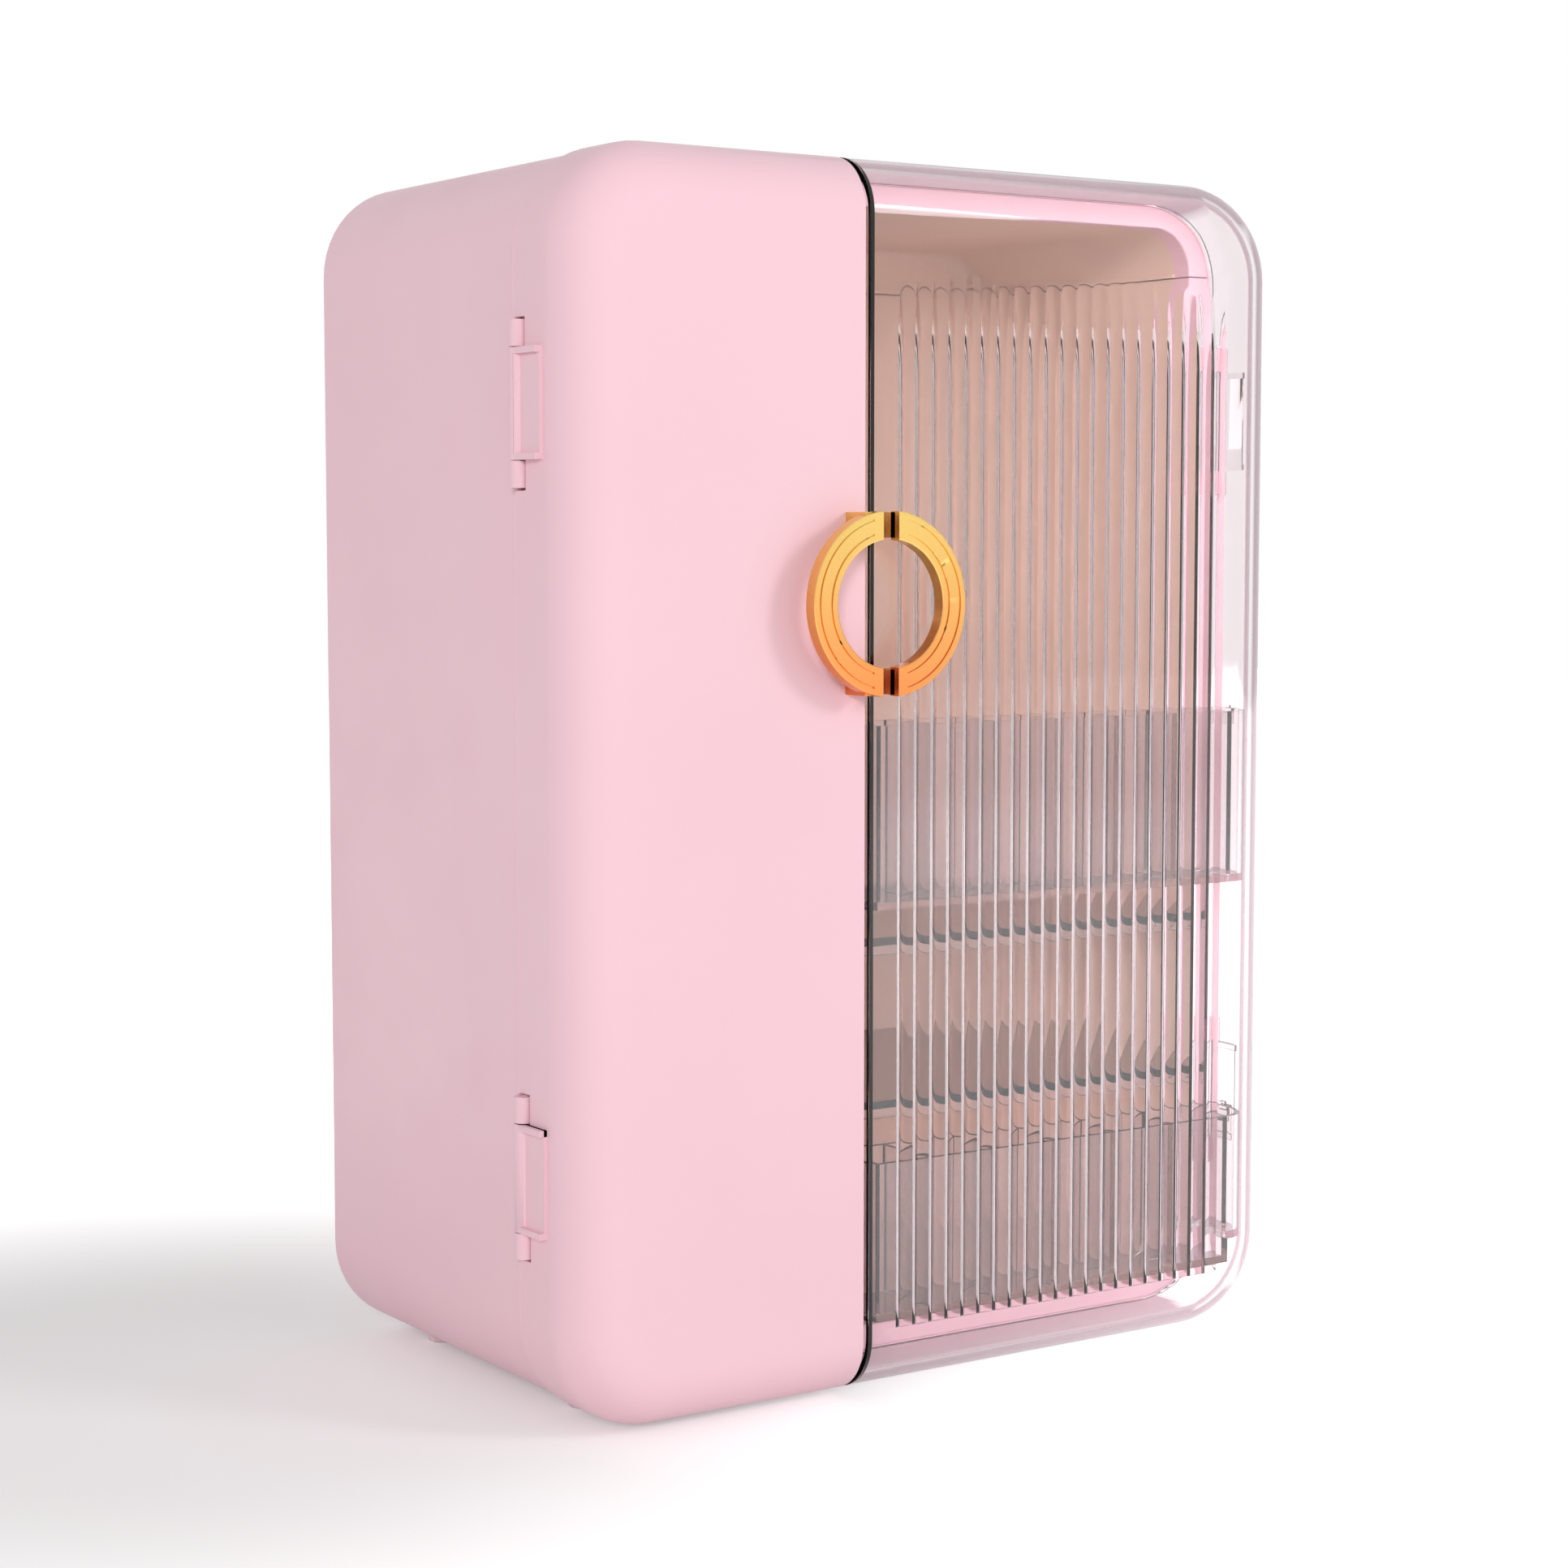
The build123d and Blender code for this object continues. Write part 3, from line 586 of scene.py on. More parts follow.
def plated_gold(name, upper, lower):
    """Satin gold plating with a very fine grain, painted lighter at the top and darker and warmer towards its
    lower end: painted light from above.
    """
    finish = Finish(name)
    finish.set(Metallic=1.0)
    spot = finish.add("ShaderNodeSeparateXYZ")
    finish.link(finish.place, spot.inputs[0])
    uneven = finish.add("ShaderNodeMath", operation="MULTIPLY_ADD")
    finish.link(finish.noise(scale=60.0, detail=3.0), uneven.inputs[0])
    uneven.inputs[1].default_value = 0.004
    finish.link(spot.outputs["Z"], uneven.inputs[2])
    # Painted light: the colour runs from the darker, warmer lower gold up to the lighter upper gold.
    height = finish.range(uneven.outputs[0], 0.0, 1.0, PULL_LOW.z, PULL_HIGH.z)
    finish.link(finish.blend(height, linear(lower), linear(upper)), finish.shader.inputs["Base Color"])
    grain = finish.noise(scale=2400.0, detail=2.0)
    finish.link(finish.range(grain, 0.26, 0.34), finish.shader.inputs["Roughness"])
    finish.bump(grain, strength=0.03, distance=0.0001)
    return finish.material


def steel(name):
    """Brushed steel of the small hidden parts."""
    finish = Finish(name)
    finish.set(Metallic=1.0)
    cloud = finish.noise(scale=240.0, detail=4.0)
    base = finish.blend(finish.range(cloud, 0.0, 1.0), (0.56, 0.56, 0.57, 1), (0.42, 0.42, 0.44, 1))
    finish.link(base, finish.shader.inputs["Base Color"])
    finish.link(finish.range(cloud, 0.25, 0.42), finish.shader.inputs["Roughness"])
    finish.bump(finish.noise(scale=2600.0, detail=2.0), strength=0.05, distance=0.0001)
    return finish.material


def rubber(name, rgb):
    """Soft rubber with a dull, slightly dusty skin."""
    finish = Finish(name)
    dust = finish.noise(scale=300.0, detail=5.0)
    dusty = tuple(min(1, c * 1.25 + 0.01) for c in rgb)
    base = finish.blend(finish.range(dust, 0.0, 1.0), linear(rgb), linear(dusty))
    finish.link(base, finish.shader.inputs["Base Color"])
    finish.link(finish.range(dust, 0.558, 0.713), finish.shader.inputs["Roughness"])
    finish.bump(finish.noise(scale=2200.0, detail=2.0), strength=0.15, distance=0.0001)
    return finish.material


FINISHES = {}


def finish_named(context, name):
    """Each material once, made from the sizes and colours in the sidebar."""
    if name in FINISHES:
        return FINISHES[name]
    body, doors = context.scene.cabinet_body, context.scene.cabinet_doors
    trays, pulls = context.scene.cabinet_trays, context.scene.cabinet_pulls
    depth = (doors.depth_tint, doors.depth_strength)
    makers = {
        "pink_plastic": lambda: moulded_plastic(name, body.pink, roughness=0.42, grain=0.02),
        # The inside finish carries painted warm bounce light in its colour.
        "inside_plastic": lambda: moulded_plastic(name, body.inside, roughness=0.5, grain=0.03),
        "clear_door_acrylic": lambda: clear_plastic(
            name, doors.clear, doors.edge, (0.5, 0.58), *depth, roughness=0.03, shade_border=doors.rounding
        ),
        "clear_tray_acrylic": lambda: clear_plastic(
            name, trays.tint, trays.edge, (0.5, 0.9), *depth, roughness=0.04, shade_border=0.0
        ),
        "gold_plating": lambda: plated_gold(name, pulls.gold, pulls.painted_shade_gold),
        "small_steel": lambda: steel(name),
        # Black strips put on the meeting edges as painted shade for the dark gap between the doors.
        "black_gap_shade": lambda: rubber(name, (0.045, 0.04, 0.045)),
        "foot_rubber": lambda: rubber(name, (0.80, 0.70, 0.72)),
    }
    FINISHES[name] = makers[name]()
    return FINISHES[name]


# Node-built pieces


class NodeTree:
    """A geometry node tree with named inputs, built a node at a time."""

    def __init__(self, name, sizes, whole=()):
        self.tree = bpy.data.node_groups.new(name, "GeometryNodeTree")
        face = self.tree.interface
        face.new_socket("Geometry", in_out="INPUT", socket_type="NodeSocketGeometry")
        self.ids = {}
        for key in sizes:
            kind = "NodeSocketInt" if key in whole else "NodeSocketFloat"
            self.ids[key] = face.new_socket(key, in_out="INPUT", socket_type=kind).identifier
        self.ids["Material"] = face.new_socket(
            "Material", in_out="INPUT", socket_type="NodeSocketMaterial"
        ).identifier
        face.new_socket("Geometry", in_out="OUTPUT", socket_type="NodeSocketGeometry")
        self.start = self.tree.nodes.new("NodeGroupInput")

    def size(self, key):
        return self.start.outputs[key]

    def node(self, kind, links=(), **values):
        """A node whose inputs, by name or index, come from links, and whose settings come from values."""
        made = self.tree.nodes.new(kind)
        for key, value in values.items():
            setattr(made, key, value)
        for key, source in dict(links).items():
            if isinstance(source, bpy.types.NodeSocket):
                self.tree.links.new(source, made.inputs[key])
            else:
                made.inputs[key].default_value = source
        return made

    def calc(self, operation, *sources):
        return self.node("ShaderNodeMath", dict(enumerate(sources)), operation=operation).outputs[0]

    def xyz(self, x=0.0, y=0.0, z=0.0):
        return self.node("ShaderNodeCombineXYZ", {"X": x, "Y": y, "Z": z}).outputs[0]

    def moved(self, geometry, **change):
        """Geometry with a Translation, Rotation or Scale."""
        return self.node("GeometryNodeTransform", {"Geometry": geometry, **change}).outputs[0]

    def finish(self, geometry):
        """Real meshes, painted, out of the tree."""
        real = self.node("GeometryNodeRealizeInstances", {"Geometry": geometry}).outputs[0]
        painted = self.node("GeometryNodeSetMaterial", {"Geometry": real, "Material": self.size("Material")})
        end = self.tree.nodes.new("NodeGroupOutput")
        self.tree.links.new(painted.outputs[0], end.inputs[0])
        return self

    def run(self, name, sizes, material, points=()):
        """The tree's mesh for these sizes, grown on a few points where it needs them."""
        mesh = bpy.data.meshes.new(name)
        mesh.from_pydata([tuple(p) for p in points], [], [])
        obj = bpy.data.objects.new(name, mesh)
        bpy.context.scene.collection.objects.link(obj)
        modifier = obj.modifiers.new("nodes", "NODES")
        modifier.node_group = self.tree
        for key, value in sizes.items():
            modifier[self.ids[key]] = value
        modifier[self.ids["Material"]] = material
        plain(obj)
        if not obj.data.polygons:
            raise RuntimeError(name + " came out empty")
        return obj


FLUTE_SIZES = (
    "Count", "Steps", "Rows", "Pitch", "Depth", "Sunk", "Left", "Panel", "Low", "High", "Fade",
)
FLUTE_PROUD = 0.06  # the flutes' feet stand this share of the sunk depth out of the panel
FADE_SINK = 0.12  # and their faded ends go this share back into it


def flute_tree():
    """A comb of lens-shaped ribs on a sunk back plate, their upper ends fading into the panel."""
    t = NodeTree("door_flutes", FLUTE_SIZES, whole=("Count", "Steps", "Rows"))
    width = t.calc("MULTIPLY", t.size("Count"), t.size("Pitch"))
    height = t.calc("SUBTRACT", t.size("High"), t.size("Low"))
    columns = t.calc("ADD", t.calc("MULTIPLY", t.size("Count"), t.size("Steps")), 1.0)
    grid = t.node(
        "GeometryNodeMeshGrid",
        {"Size X": width, "Size Y": height, "Vertices X": columns, "Vertices Y": t.size("Rows")},
    ).outputs[0]
    centre_x = t.calc("ADD", t.size("Left"), t.calc("MULTIPLY", width, 0.5))
    centre_z = t.calc("ADD", t.size("Low"), t.calc("MULTIPLY", height, 0.5))
    back_y = t.calc("SUBTRACT", t.size("Panel"), t.size("Sunk"))
    centre = t.xyz(centre_x, back_y, centre_z)
    stood = t.moved(grid, Translation=centre, Rotation=t.xyz(x=math.pi / 2))
    raise_by = {"Offset": t.xyz(y=1.0), "Offset Scale": t.size("Sunk"), "Individual": False}
    raised = t.node("GeometryNodeExtrudeMesh", {"Mesh": stood, **raise_by})
    spot = t.node("ShaderNodeSeparateXYZ", {0: t.node("GeometryNodeInputPosition").outputs[0]})
    along = t.calc("DIVIDE", t.calc("SUBTRACT", spot.outputs[0], t.size("Left")), t.size("Pitch"))
    across = t.calc("SUBTRACT", t.calc("MULTIPLY", t.calc("FRACT", along), 2.0), 1.0)
    lens = t.calc("SUBTRACT", 1.0, t.calc("MULTIPLY", across, across))
    to_top = t.calc("DIVIDE", t.calc("SUBTRACT", t.size("High"), spot.outputs[2]), t.size("Fade"))
    fade = t.calc("MINIMUM", t.calc("MAXIMUM", to_top, 0.0), 1.0)
    rise = t.calc("MULTIPLY", t.calc("MULTIPLY", lens, fade), t.size("Depth"))
    drop = t.calc("MULTIPLY", t.size("Sunk"), -FADE_SINK)
    sink = t.calc("MULTIPLY", t.calc("SUBTRACT", 1.0, fade), drop)
    proud = t.calc("MULTIPLY", t.size("Sunk"), FLUTE_PROUD)
    crest = t.calc("ADD", t.calc("ADD", t.size("Panel"), proud), t.calc("ADD", rise, sink))
    shaped = t.node(
        "GeometryNodeSetPosition",
        {
            "Geometry": raised.outputs["Mesh"],
            "Selection": raised.outputs["Top"],
            "Position": t.xyz(spot.outputs[0], crest, spot.outputs[2]),
        },
    ).outputs[0]
    flipped = t.node("GeometryNodeFlipFaces", {"Mesh": stood}).outputs[0]
    both = t.node("GeometryNodeJoinGeometry")
    t.tree.links.new(shaped, both.inputs[0])
    t.tree.links.new(flipped, both.inputs[0])
    merged = t.node("GeometryNodeMergeByDistance", {"Geometry": both.outputs[0], "Distance": 1e-6}).outputs[0]
    return t.finish(merged)


SCREW_SIZES = (
    "Head radius", "Head height", "Shank radius", "Shank length", "Slot width", "Slot depth", "Turn",
)
HEAD_STRAIGHT = 0.8  # share of a head's height below its slanted crown
CROWN_TOP = 0.8  # radius of the crown's top as a share of the head's
SLOT_REACH = 2.4  # length of the slot's cutter in head radii


def screw_tree():
    """A slotted screw on each point, its head towards the turned +Z."""
    t = NodeTree("slotted_screws", SCREW_SIZES)
    radius, height = t.size("Head radius"), t.size("Head height")
    round_head = {"Vertices": 32, "Radius": radius, "Depth": height}
    head = t.node("GeometryNodeMeshCylinder", round_head).outputs[0]
    head = t.moved(head, Translation=t.xyz(z=t.calc("MULTIPLY", height, 0.5)))
    head = t.moved(head, Scale=t.xyz(1.0, 1.0, HEAD_STRAIGHT))
    slanted = {
        "Vertices": 32,
        "Radius Top": t.calc("MULTIPLY", radius, CROWN_TOP),
        "Radius Bottom": radius,
        "Depth": t.calc("MULTIPLY", height, 1.0 - HEAD_STRAIGHT),
    }
    crown = t.node("GeometryNodeMeshCone", slanted).outputs[0]
    crown = t.moved(crown, Translation=t.xyz(z=t.calc("MULTIPLY", height, HEAD_STRAIGHT)))
    across = t.calc("MULTIPLY", radius, SLOT_REACH)
    deep = t.calc("MULTIPLY", t.size("Slot depth"), 2.0)
    slot = t.node("GeometryNodeMeshCube", {"Size": t.xyz(across, t.size("Slot width"), deep)}).outputs[0]
    slot = t.moved(slot, Translation=t.xyz(z=height))
    round_shank = {"Vertices": 20, "Radius": t.size("Shank radius"), "Depth": t.size("Shank length")}
    shank = t.node("GeometryNodeMeshCylinder", round_shank).outputs[0]
    shank = t.moved(shank, Translation=t.xyz(z=t.calc("MULTIPLY", t.size("Shank length"), -0.5)))
    whole = t.node("GeometryNodeMeshBoolean", operation="UNION")
    for part in (head, crown, shank):
        t.tree.links.new(part, whole.inputs["Mesh 2"])
    slotted = t.node("GeometryNodeMeshBoolean", {"Mesh 1": whole.outputs[0]}, operation="DIFFERENCE")
    t.tree.links.new(slot, slotted.inputs["Mesh 2"])
    turned = t.moved(slotted.outputs[0], Rotation=t.xyz(x=t.size("Turn")))
    points = t.start.outputs["Geometry"]
    grown = t.node("GeometryNodeInstanceOnPoints", {"Points": points, "Instance": turned}).outputs[0]
    return t.finish(grown)


# Shapes of the pieces


def corner_for(body, inset):
    """Corner radius of the outline at an inset: the body's outside, and the opening near its edge."""
    if inset >= body.rim - body.rim_lip - 1e-6:
        return body.opening_corner + body.rim - inset
    return body.corner - inset


def lofted(body, profile, closed=False):
    """A mesh whose section is the profile of insets and depths, swept round the body's outline."""
    return loft([body_ring(p.x, p.y, corner_for(body, p.x)) for p in profile], closed)


def door_block(body, inset, front, rounding, back, rear_ease):
    """Both doors as one rounded block: a rounded outline with a rounded front."""
    face = inset + rounding + BLOCK_FACE
    corners = [(inset + BLOCK_BACK, back), (inset, back), (inset, front), (face, front)]
    points = [Vector(c) for c in corners]
    rear = eased(points[:3], [0, rear_ease, 0], 2)[:-1]
    fore = eased(points[1:], [0, rounding, 0], ROUND_STEPS)[1:]
    return loft([body_ring(p.x, p.y, body.corner - p.x) for p in rear + fore])


def hinge_spans(side):
    """Low and high z of each of a side's two hinges."""
    low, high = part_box(side + "_hinge_leaves")
    heights = [v.co.z for v in frame["nodes"][side + "_hinge_leaves"].data.vertices]
    middle = (low.z + high.z) / 2
    return [
        (low.z, max(z for z in heights if z < middle)),
        (min(z for z in heights if z > middle), high.z),
    ]


def hinge_axis(side):
    """X and y of a side's pins."""
    low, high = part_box(side + "_hinge_pins")
    return (low.x + high.x) / 2, (low.y + high.y) / 2


def pull_screw_spots(side):
    """Middle of each pull screw, on the door's front face."""
    points = [v.co for v in frame["nodes"][side + "_pull_screws"].data.vertices]
    middle = (min(p.z for p in points) + max(p.z for p in points)) / 2
    spots = []
    for keep in (lambda z: z < middle, lambda z: z > middle):
        own = [p for p in points if keep(p.z)]
        x = (min(p.x for p in own) + max(p.x for p in own)) / 2
        z = (min(p.z for p in own) + max(p.z for p in own)) / 2
        spots.append(Vector((x, DOOR_LOW.y, z)))
    return spots


def door_shell(body, doors, name, side):
    """A hollow door, open at the back, with notches for its hinges and holes for its pull."""
    low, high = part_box(name + "_door_shell")
    meet = low.x if side > 0 else high.x
    outer = door_block(body, -doors.over, low.y, doors.rounding, high.y, doors.rear_ease)
    cut(outer, (meet, 0, 0), (-side, 0, 0))
    rounding = doors.rounding - doors.wall
    hollow = door_block(
        body, doors.wall - doors.over, low.y + doors.wall, rounding, high.y + FAR_PAST, 0.0
    )
    cut(hollow, (meet + side * doors.end_wall, 0, 0), (-side, 0, 0))
    shell = new_object(name + "_door", outer)
    carve(shell, hollow, "DIFFERENCE")
    outside, gap = side * DOOR_HIGH.x, doors.notch_gap
    x0, x1 = sorted((outside - side * (doors.wall + PAST), outside + side * PAST))
    front = hinge_axis(name)[1] - doors.knuckle - gap
    for z0, z1 in hinge_spans(name):
        room = block((x0, front, z0 - gap), (x1, high.y + FAR_PAST, z1 + gap))
        carve(shell, room, "DIFFERENCE")
    before, behind = Vector((0, -PAST, 0)), Vector((0, doors.wall + FAR_PAST, 0))
    for spot in pull_screw_spots(name):
        carve(shell, rod(doors.screw_head, spot + before, spot + behind, 24), "DIFFERENCE")
    return shell


class CABINET_OT_shell(bpy.types.Operator):
    """Outer shell: a tube of rounded outline"""

    bl_idname = "cabinet.shell"
    bl_label = "Outer shell"

    def execute(self, context):
        body = context.scene.cabinet_body
        front, back = SHELL_LOW.y, SHELL_HIGH.y
        corners = [(0.0, front), (0.0, back), (body.wall, back), (body.wall, front)]
        profile = eased([Vector(c) for c in corners], [body.front_ease] + [body.ease] * 3, 4, closed=True)
        obj = soften(new_object("outer_shell", lofted(body, profile, closed=True)), 0)
        dress(obj, finish_named(context, "pink_plastic"), "cabinet", "cabinet_shell", slot="pink_shell")
        return {"FINISHED"}


class CABINET_OT_rim(bpy.types.Operator):
    """Front rim in two parts, with the lip that lines the opening"""

    bl_idname = "cabinet.rim"
    bl_label = "Front rim"

    def execute(self, context):
        body = context.scene.cabinet_body
        low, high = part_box("front_frame")
        outer = low.x - SHELL_LOW.x
        lip = body.rim - body.rim_lip
        plate_back, lip_back = low.y + body.rim_plate, low.y + body.reveal
        corners = [
            (outer, low.y), (outer, plate_back), (lip, plate_back), (lip, lip_back), (body.rim, lip_back),
            (body.rim, low.y),
        ]
        eases = [body.ease, 0, 0, 0, 0, body.ease * 1.6]
        profile = eased([Vector(c) for c in corners], eases, 4, closed=True)
        whole = lofted(body, profile, closed=True)
        upper = cut(whole.copy(), (0, 0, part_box("front_frame_top")[0].z), (0, 0, -1))
        lower = cut(whole, (0, 0, high.z), (0, 0, 1))
        pink = finish_named(context, "pink_plastic")
        for name, bm, node in (("rim_lower", lower, "front_frame"), ("rim_upper", upper, "front_frame_top")):
            dress(soften(new_object(name, bm), 0), pink, "cabinet", node, slot="pink_shell")
        return {"FINISHED"}


class CABINET_OT_liner(bpy.types.Operator):
    """Walls, back and ceiling of the inside"""

    bl_idname = "cabinet.liner"
    bl_label = "Inner box"

    def execute(self, context):
        body = context.scene.cabinet_body
        low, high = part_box("inner_liner")
        ceiling_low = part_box("ceiling_liner")[0]
        wall, rim = body.liner_wall, body.rim
        front, rear = low.y, SHELL_HIGH.y - LINER_SET
        back = rear - wall
        corners = [
            (rim + LINER_FLAT, back), (rim, back), (rim, front), (rim - wall, front),
            (rim - wall, rear), (rim + LINER_FLAT, rear),
        ]
        profile = eased([Vector(c) for c in corners], [0, body.liner_corner, 0, 0, LINER_EASE, 0], 6)
        whole = lofted(body, profile)
        upper = cut(whole.copy(), (0, 0, ceiling_low.z), (0, 0, -1))
        lower = cut(whole, (0, 0, high.z), (0, 0, 1))
        inside = finish_named(context, "inside_plastic")
        liner = soften(new_object("liner_walls", lower), 0)
        dress(liner, inside, "cabinet", "inner_liner", slot="pink_inside")
        half = SHELL_HIGH.x - rim
        z0, z1 = ceiling_low.z, ceiling_low.z + body.bead_height
        beads = [
            block((-half - OVERLAP, front, z0), (-half + body.bead, back, z1)),
            block((half - body.bead, front, z0), (half + OVERLAP, back, z1)),
            block((-half, back - body.bead, z0), (half, back + OVERLAP, z1)),
        ]
        ceiling = new_object("liner_ceiling", upper)
        for bead in beads:
            carve(ceiling, bead, "UNION")
        dress(soften(ceiling, FINE_EASE), inside, "cabinet", "ceiling_liner", slot="pink_inside")
        return {"FINISHED"}


class CABINET_OT_back(bpy.types.Operator):
    """Back panel with sunk screw holes"""

    bl_idname = "cabinet.back"
    bl_label = "Back panel"

    def execute(self, context):
        body = context.scene.cabinet_body
        low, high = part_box("back_panel")
        inset = low.x - SHELL_LOW.x
        flat = inset + PANEL_FLAT
        corners = [(flat, low.y), (inset, low.y), (inset, high.y), (flat, high.y)]
        profile = eased([Vector(c) for c in corners], [0, *PANEL_EASES, 0], 3)
        panel = new_object("rear_panel", lofted(body, profile))
        for spot in screw_spots("back_panel_screws"):
            carve(panel, rod(SUNK_HOLE, spot, spot + Vector((0, SUNK_DEPTH, 0))), "DIFFERENCE")
        pink = finish_named(context, "pink_plastic")
        dress(soften(panel, FINE_EASE), pink, "cabinet", "back_panel", slot="pink_inside")
        return {"FINISHED"}


def clusters(node):
    """A node's separate solids, each as the low and high corners of its own box."""
    bm = bmesh.new()
    bm.from_mesh(frame["nodes"][node].data)
    bmesh.ops.remove_doubles(bm, verts=bm.verts, dist=1e-6)
    boxes, left = [], set(bm.verts)
    while left:
        waiting, own = [left.pop()], []
        while waiting:
            vert = waiting.pop()
            own.append(vert.co.copy())
            for edge in vert.link_edges:
                other = edge.other_vert(vert)
                if other in left:
                    left.remove(other)
                    waiting.append(other)
        low = Vector([min(co[i] for co in own) for i in range(3)])
        high = Vector([max(co[i] for co in own) for i in range(3)])
        boxes.append((low, high))
    bm.free()
    return sorted(boxes, key=lambda b: (round(b[0].z, 4), round(b[0].x, 4), round(b[0].y, 4)))


def screw_spots(node):
    """The seat of each screw's head, for screws along Y."""
    return [Vector(((a.x + b.x) / 2, b.y - SCREW_HEAD, (a.z + b.z) / 2)) for a, b in clusters(node)]


class CABINET_OT_screws(bpy.types.Operator):
    """Slotted screws of the back panel and the pulls"""

    bl_idname = "cabinet.screws"
    bl_label = "Screws"

    def execute(self, context):
        metal = finish_named(context, "small_steel")
        tree = screw_tree()
        for node, name, body in (
            ("back_panel_screws", "panel_screws", "cabinet"),
            ("left_pull_screws", "left_ring_screws", "left_door"),
            ("right_pull_screws", "right_ring_screws", "right_door"),
        ):
            low, high = clusters(node)[0]
            sizes = {
                "Head radius": (high.x - low.x) / 2,
                "Head height": SCREW_HEAD,
                "Shank radius": SCREW_SHANK,
                "Shank length": high.y - low.y - SCREW_HEAD - SCREW_SHORT,
                "Slot width": SCREW_SLOT_WIDTH,
                "Slot depth": SCREW_SLOT_DEPTH,
                "Turn": -math.pi / 2,
            }
            obj = tree.run(name, sizes, metal, screw_spots(node))
            dress(soften(obj, 0), metal, body, node, slot="steel_small")
        return {"FINISHED"}


class CABINET_OT_feet(bpy.types.Operator):
    """Feet with a rounded tread, under the shell"""

    bl_idname = "cabinet.feet"
    bl_label = "Feet"

    def execute(self, context):
        feet = []
        for low, high in clusters("rubber_feet"):
            middle = (low + high) / 2
            radius = (high.x - low.x) / 2
            top = SHELL_LOW.z + FOOT_SUNK
            corners = [(FOOT_CORE, 0), (radius, 0), (radius, top), (FOOT_CORE, top)]
            profile = eased([Vector(c) for c in corners], [0, FOOT_EASE, 0, 0], 4)
            rings = []
            for p in profile:
                ring = []
                for a in turns(FOOT_STEPS):
                    x, y = middle.x + p.x * math.cos(a), middle.y + p.x * math.sin(a)
                    ring.append(Vector((x, y, low.z + p.y)))
                rings.append(ring)
            feet.append(loft(rings))
        obj = soften(new_object("feet", joined(feet)), 0)
        dress(obj, finish_named(context, "foot_rubber"), "cabinet", "rubber_feet", slot="foot_rubber")
        return {"FINISHED"}


class CABINET_OT_shelves(bpy.types.Operator):
    """Clear shelves with a front lip, and the pegs under them"""

    bl_idname = "cabinet.shelves"
    bl_label = "Shelves"

    def execute(self, context):
        clear = finish_named(context, "clear_tray_acrylic")
        for node in ("mid_shelf", "lower_shelf"):
            low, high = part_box(node)
            obj = new_object(node + "_plate", block((low.x, low.y, high.z - SHELF_PLATE), high))
            carve(obj, block(low, (high.x, low.y + SHELF_LIP, high.z - SHELF_LIP_TOP)), "UNION")
            dress(soften(obj, SHELF_EASE), clear, "cabinet", node, slot="clear_tray")
        paint("shelf_pegs", clear)
        return {"FINISHED"}


def hinge_leaf(name, side, radius, z0, z1):
    """Leaf inside the shell, with a knuckle at each end."""
    low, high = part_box(name + "_hinge_leaves")
    inner = low.x if side > 0 else high.x
    x, y = hinge_axis(name)
    x0, x1 = sorted((inner, inner + side * LEAF_PLATE))
    x2, x3 = sorted((inner, x))
    leaf = new_object("leaf", block((x0, SHELL_LOW.y, z0), (x1, high.y, z1)))
    for a, b in ((z0, z0 + KNUCKLE_LENGTH), (z1 - KNUCKLE_LENGTH, z1)):
        carve(leaf, block((x2, y, a), (x3, SHELL_LOW.y + OVERLAP, b)), "UNION")
        carve(leaf, rod(radius, (x, y, a), (x, y, b), 40), "UNION")
    return carve(leaf, rod(SCREW_SHANK, (x, y, z0 - PAST), (x, y, z1 + PAST), 24), "DIFFERENCE")


def hinge_arm(side, radius, axis, low, high):
    """Barrel, plate and two tabs that lie on the door's side."""
    x, y = axis
    face = side * (DOOR_HIGH.x + (ARM_CLEAR if side > 0 else -ARM_SUNK))
    x0, x1 = sorted((face, side * (DOOR_HIGH.x + ARM_PLATE)))
    x2, x3 = sorted((face, side * (DOOR_HIGH.x + ARM_TAB)))
    arm = new_object("arm", rod(radius, (x, y, low.z), (x, y, high.z), 40))
    carve(arm, block((x0, low.y, low.z), (x1, y, high.z)), "UNION")
    for z in (low.z, high.z - TAB_HEIGHT):
        carve(arm, block((x2, low.y, z), (x3, y, z + TAB_HEIGHT)), "UNION")
    bore = rod(ARM_BORE, (x, y, low.z - PAST), (x, y, high.z + PAST), 24)
    return carve(arm, bore, "DIFFERENCE")


class CABINET_OT_hinges(bpy.types.Operator):
    """Hinge leaves with their knuckles, and the arms on the doors' sides"""

    bl_idname = "cabinet.hinges"
    bl_label = "Hinges"

    def execute(self, context):
        radius = context.scene.cabinet_doors.knuckle
        pink, metal = finish_named(context, "pink_plastic"), finish_named(context, "small_steel")
        clear = finish_named(context, "clear_door_acrylic")
        looks = ((pink, "pink_shell"), (clear, "clear_door"))
        for (name, side), (finish, slot) in zip(SIDES, looks):
            spans = hinge_spans(name)
            leaves = [soften(hinge_leaf(name, side, radius, *span), LEAF_EASE) for span in spans]
            obj = merge_objects(name + "_leaves", leaves)
            dress(obj, pink, "cabinet", name + "_hinge_leaves", slot="pink_shell")
            arms = []
            for box in clusters(name + "_hinge_arms"):
                arms.append(soften(hinge_arm(side, radius, hinge_axis(name), *box), DOOR_EASE))
            obj = merge_objects(name + "_arms", arms)
            dress(obj, finish, name + "_door", name + "_hinge_arms", slot=slot)
            paint(name + "_hinge_pins", metal)
        paint("leaf_screws", metal)
        paint("catch_magnets", metal)
        return {"FINISHED"}


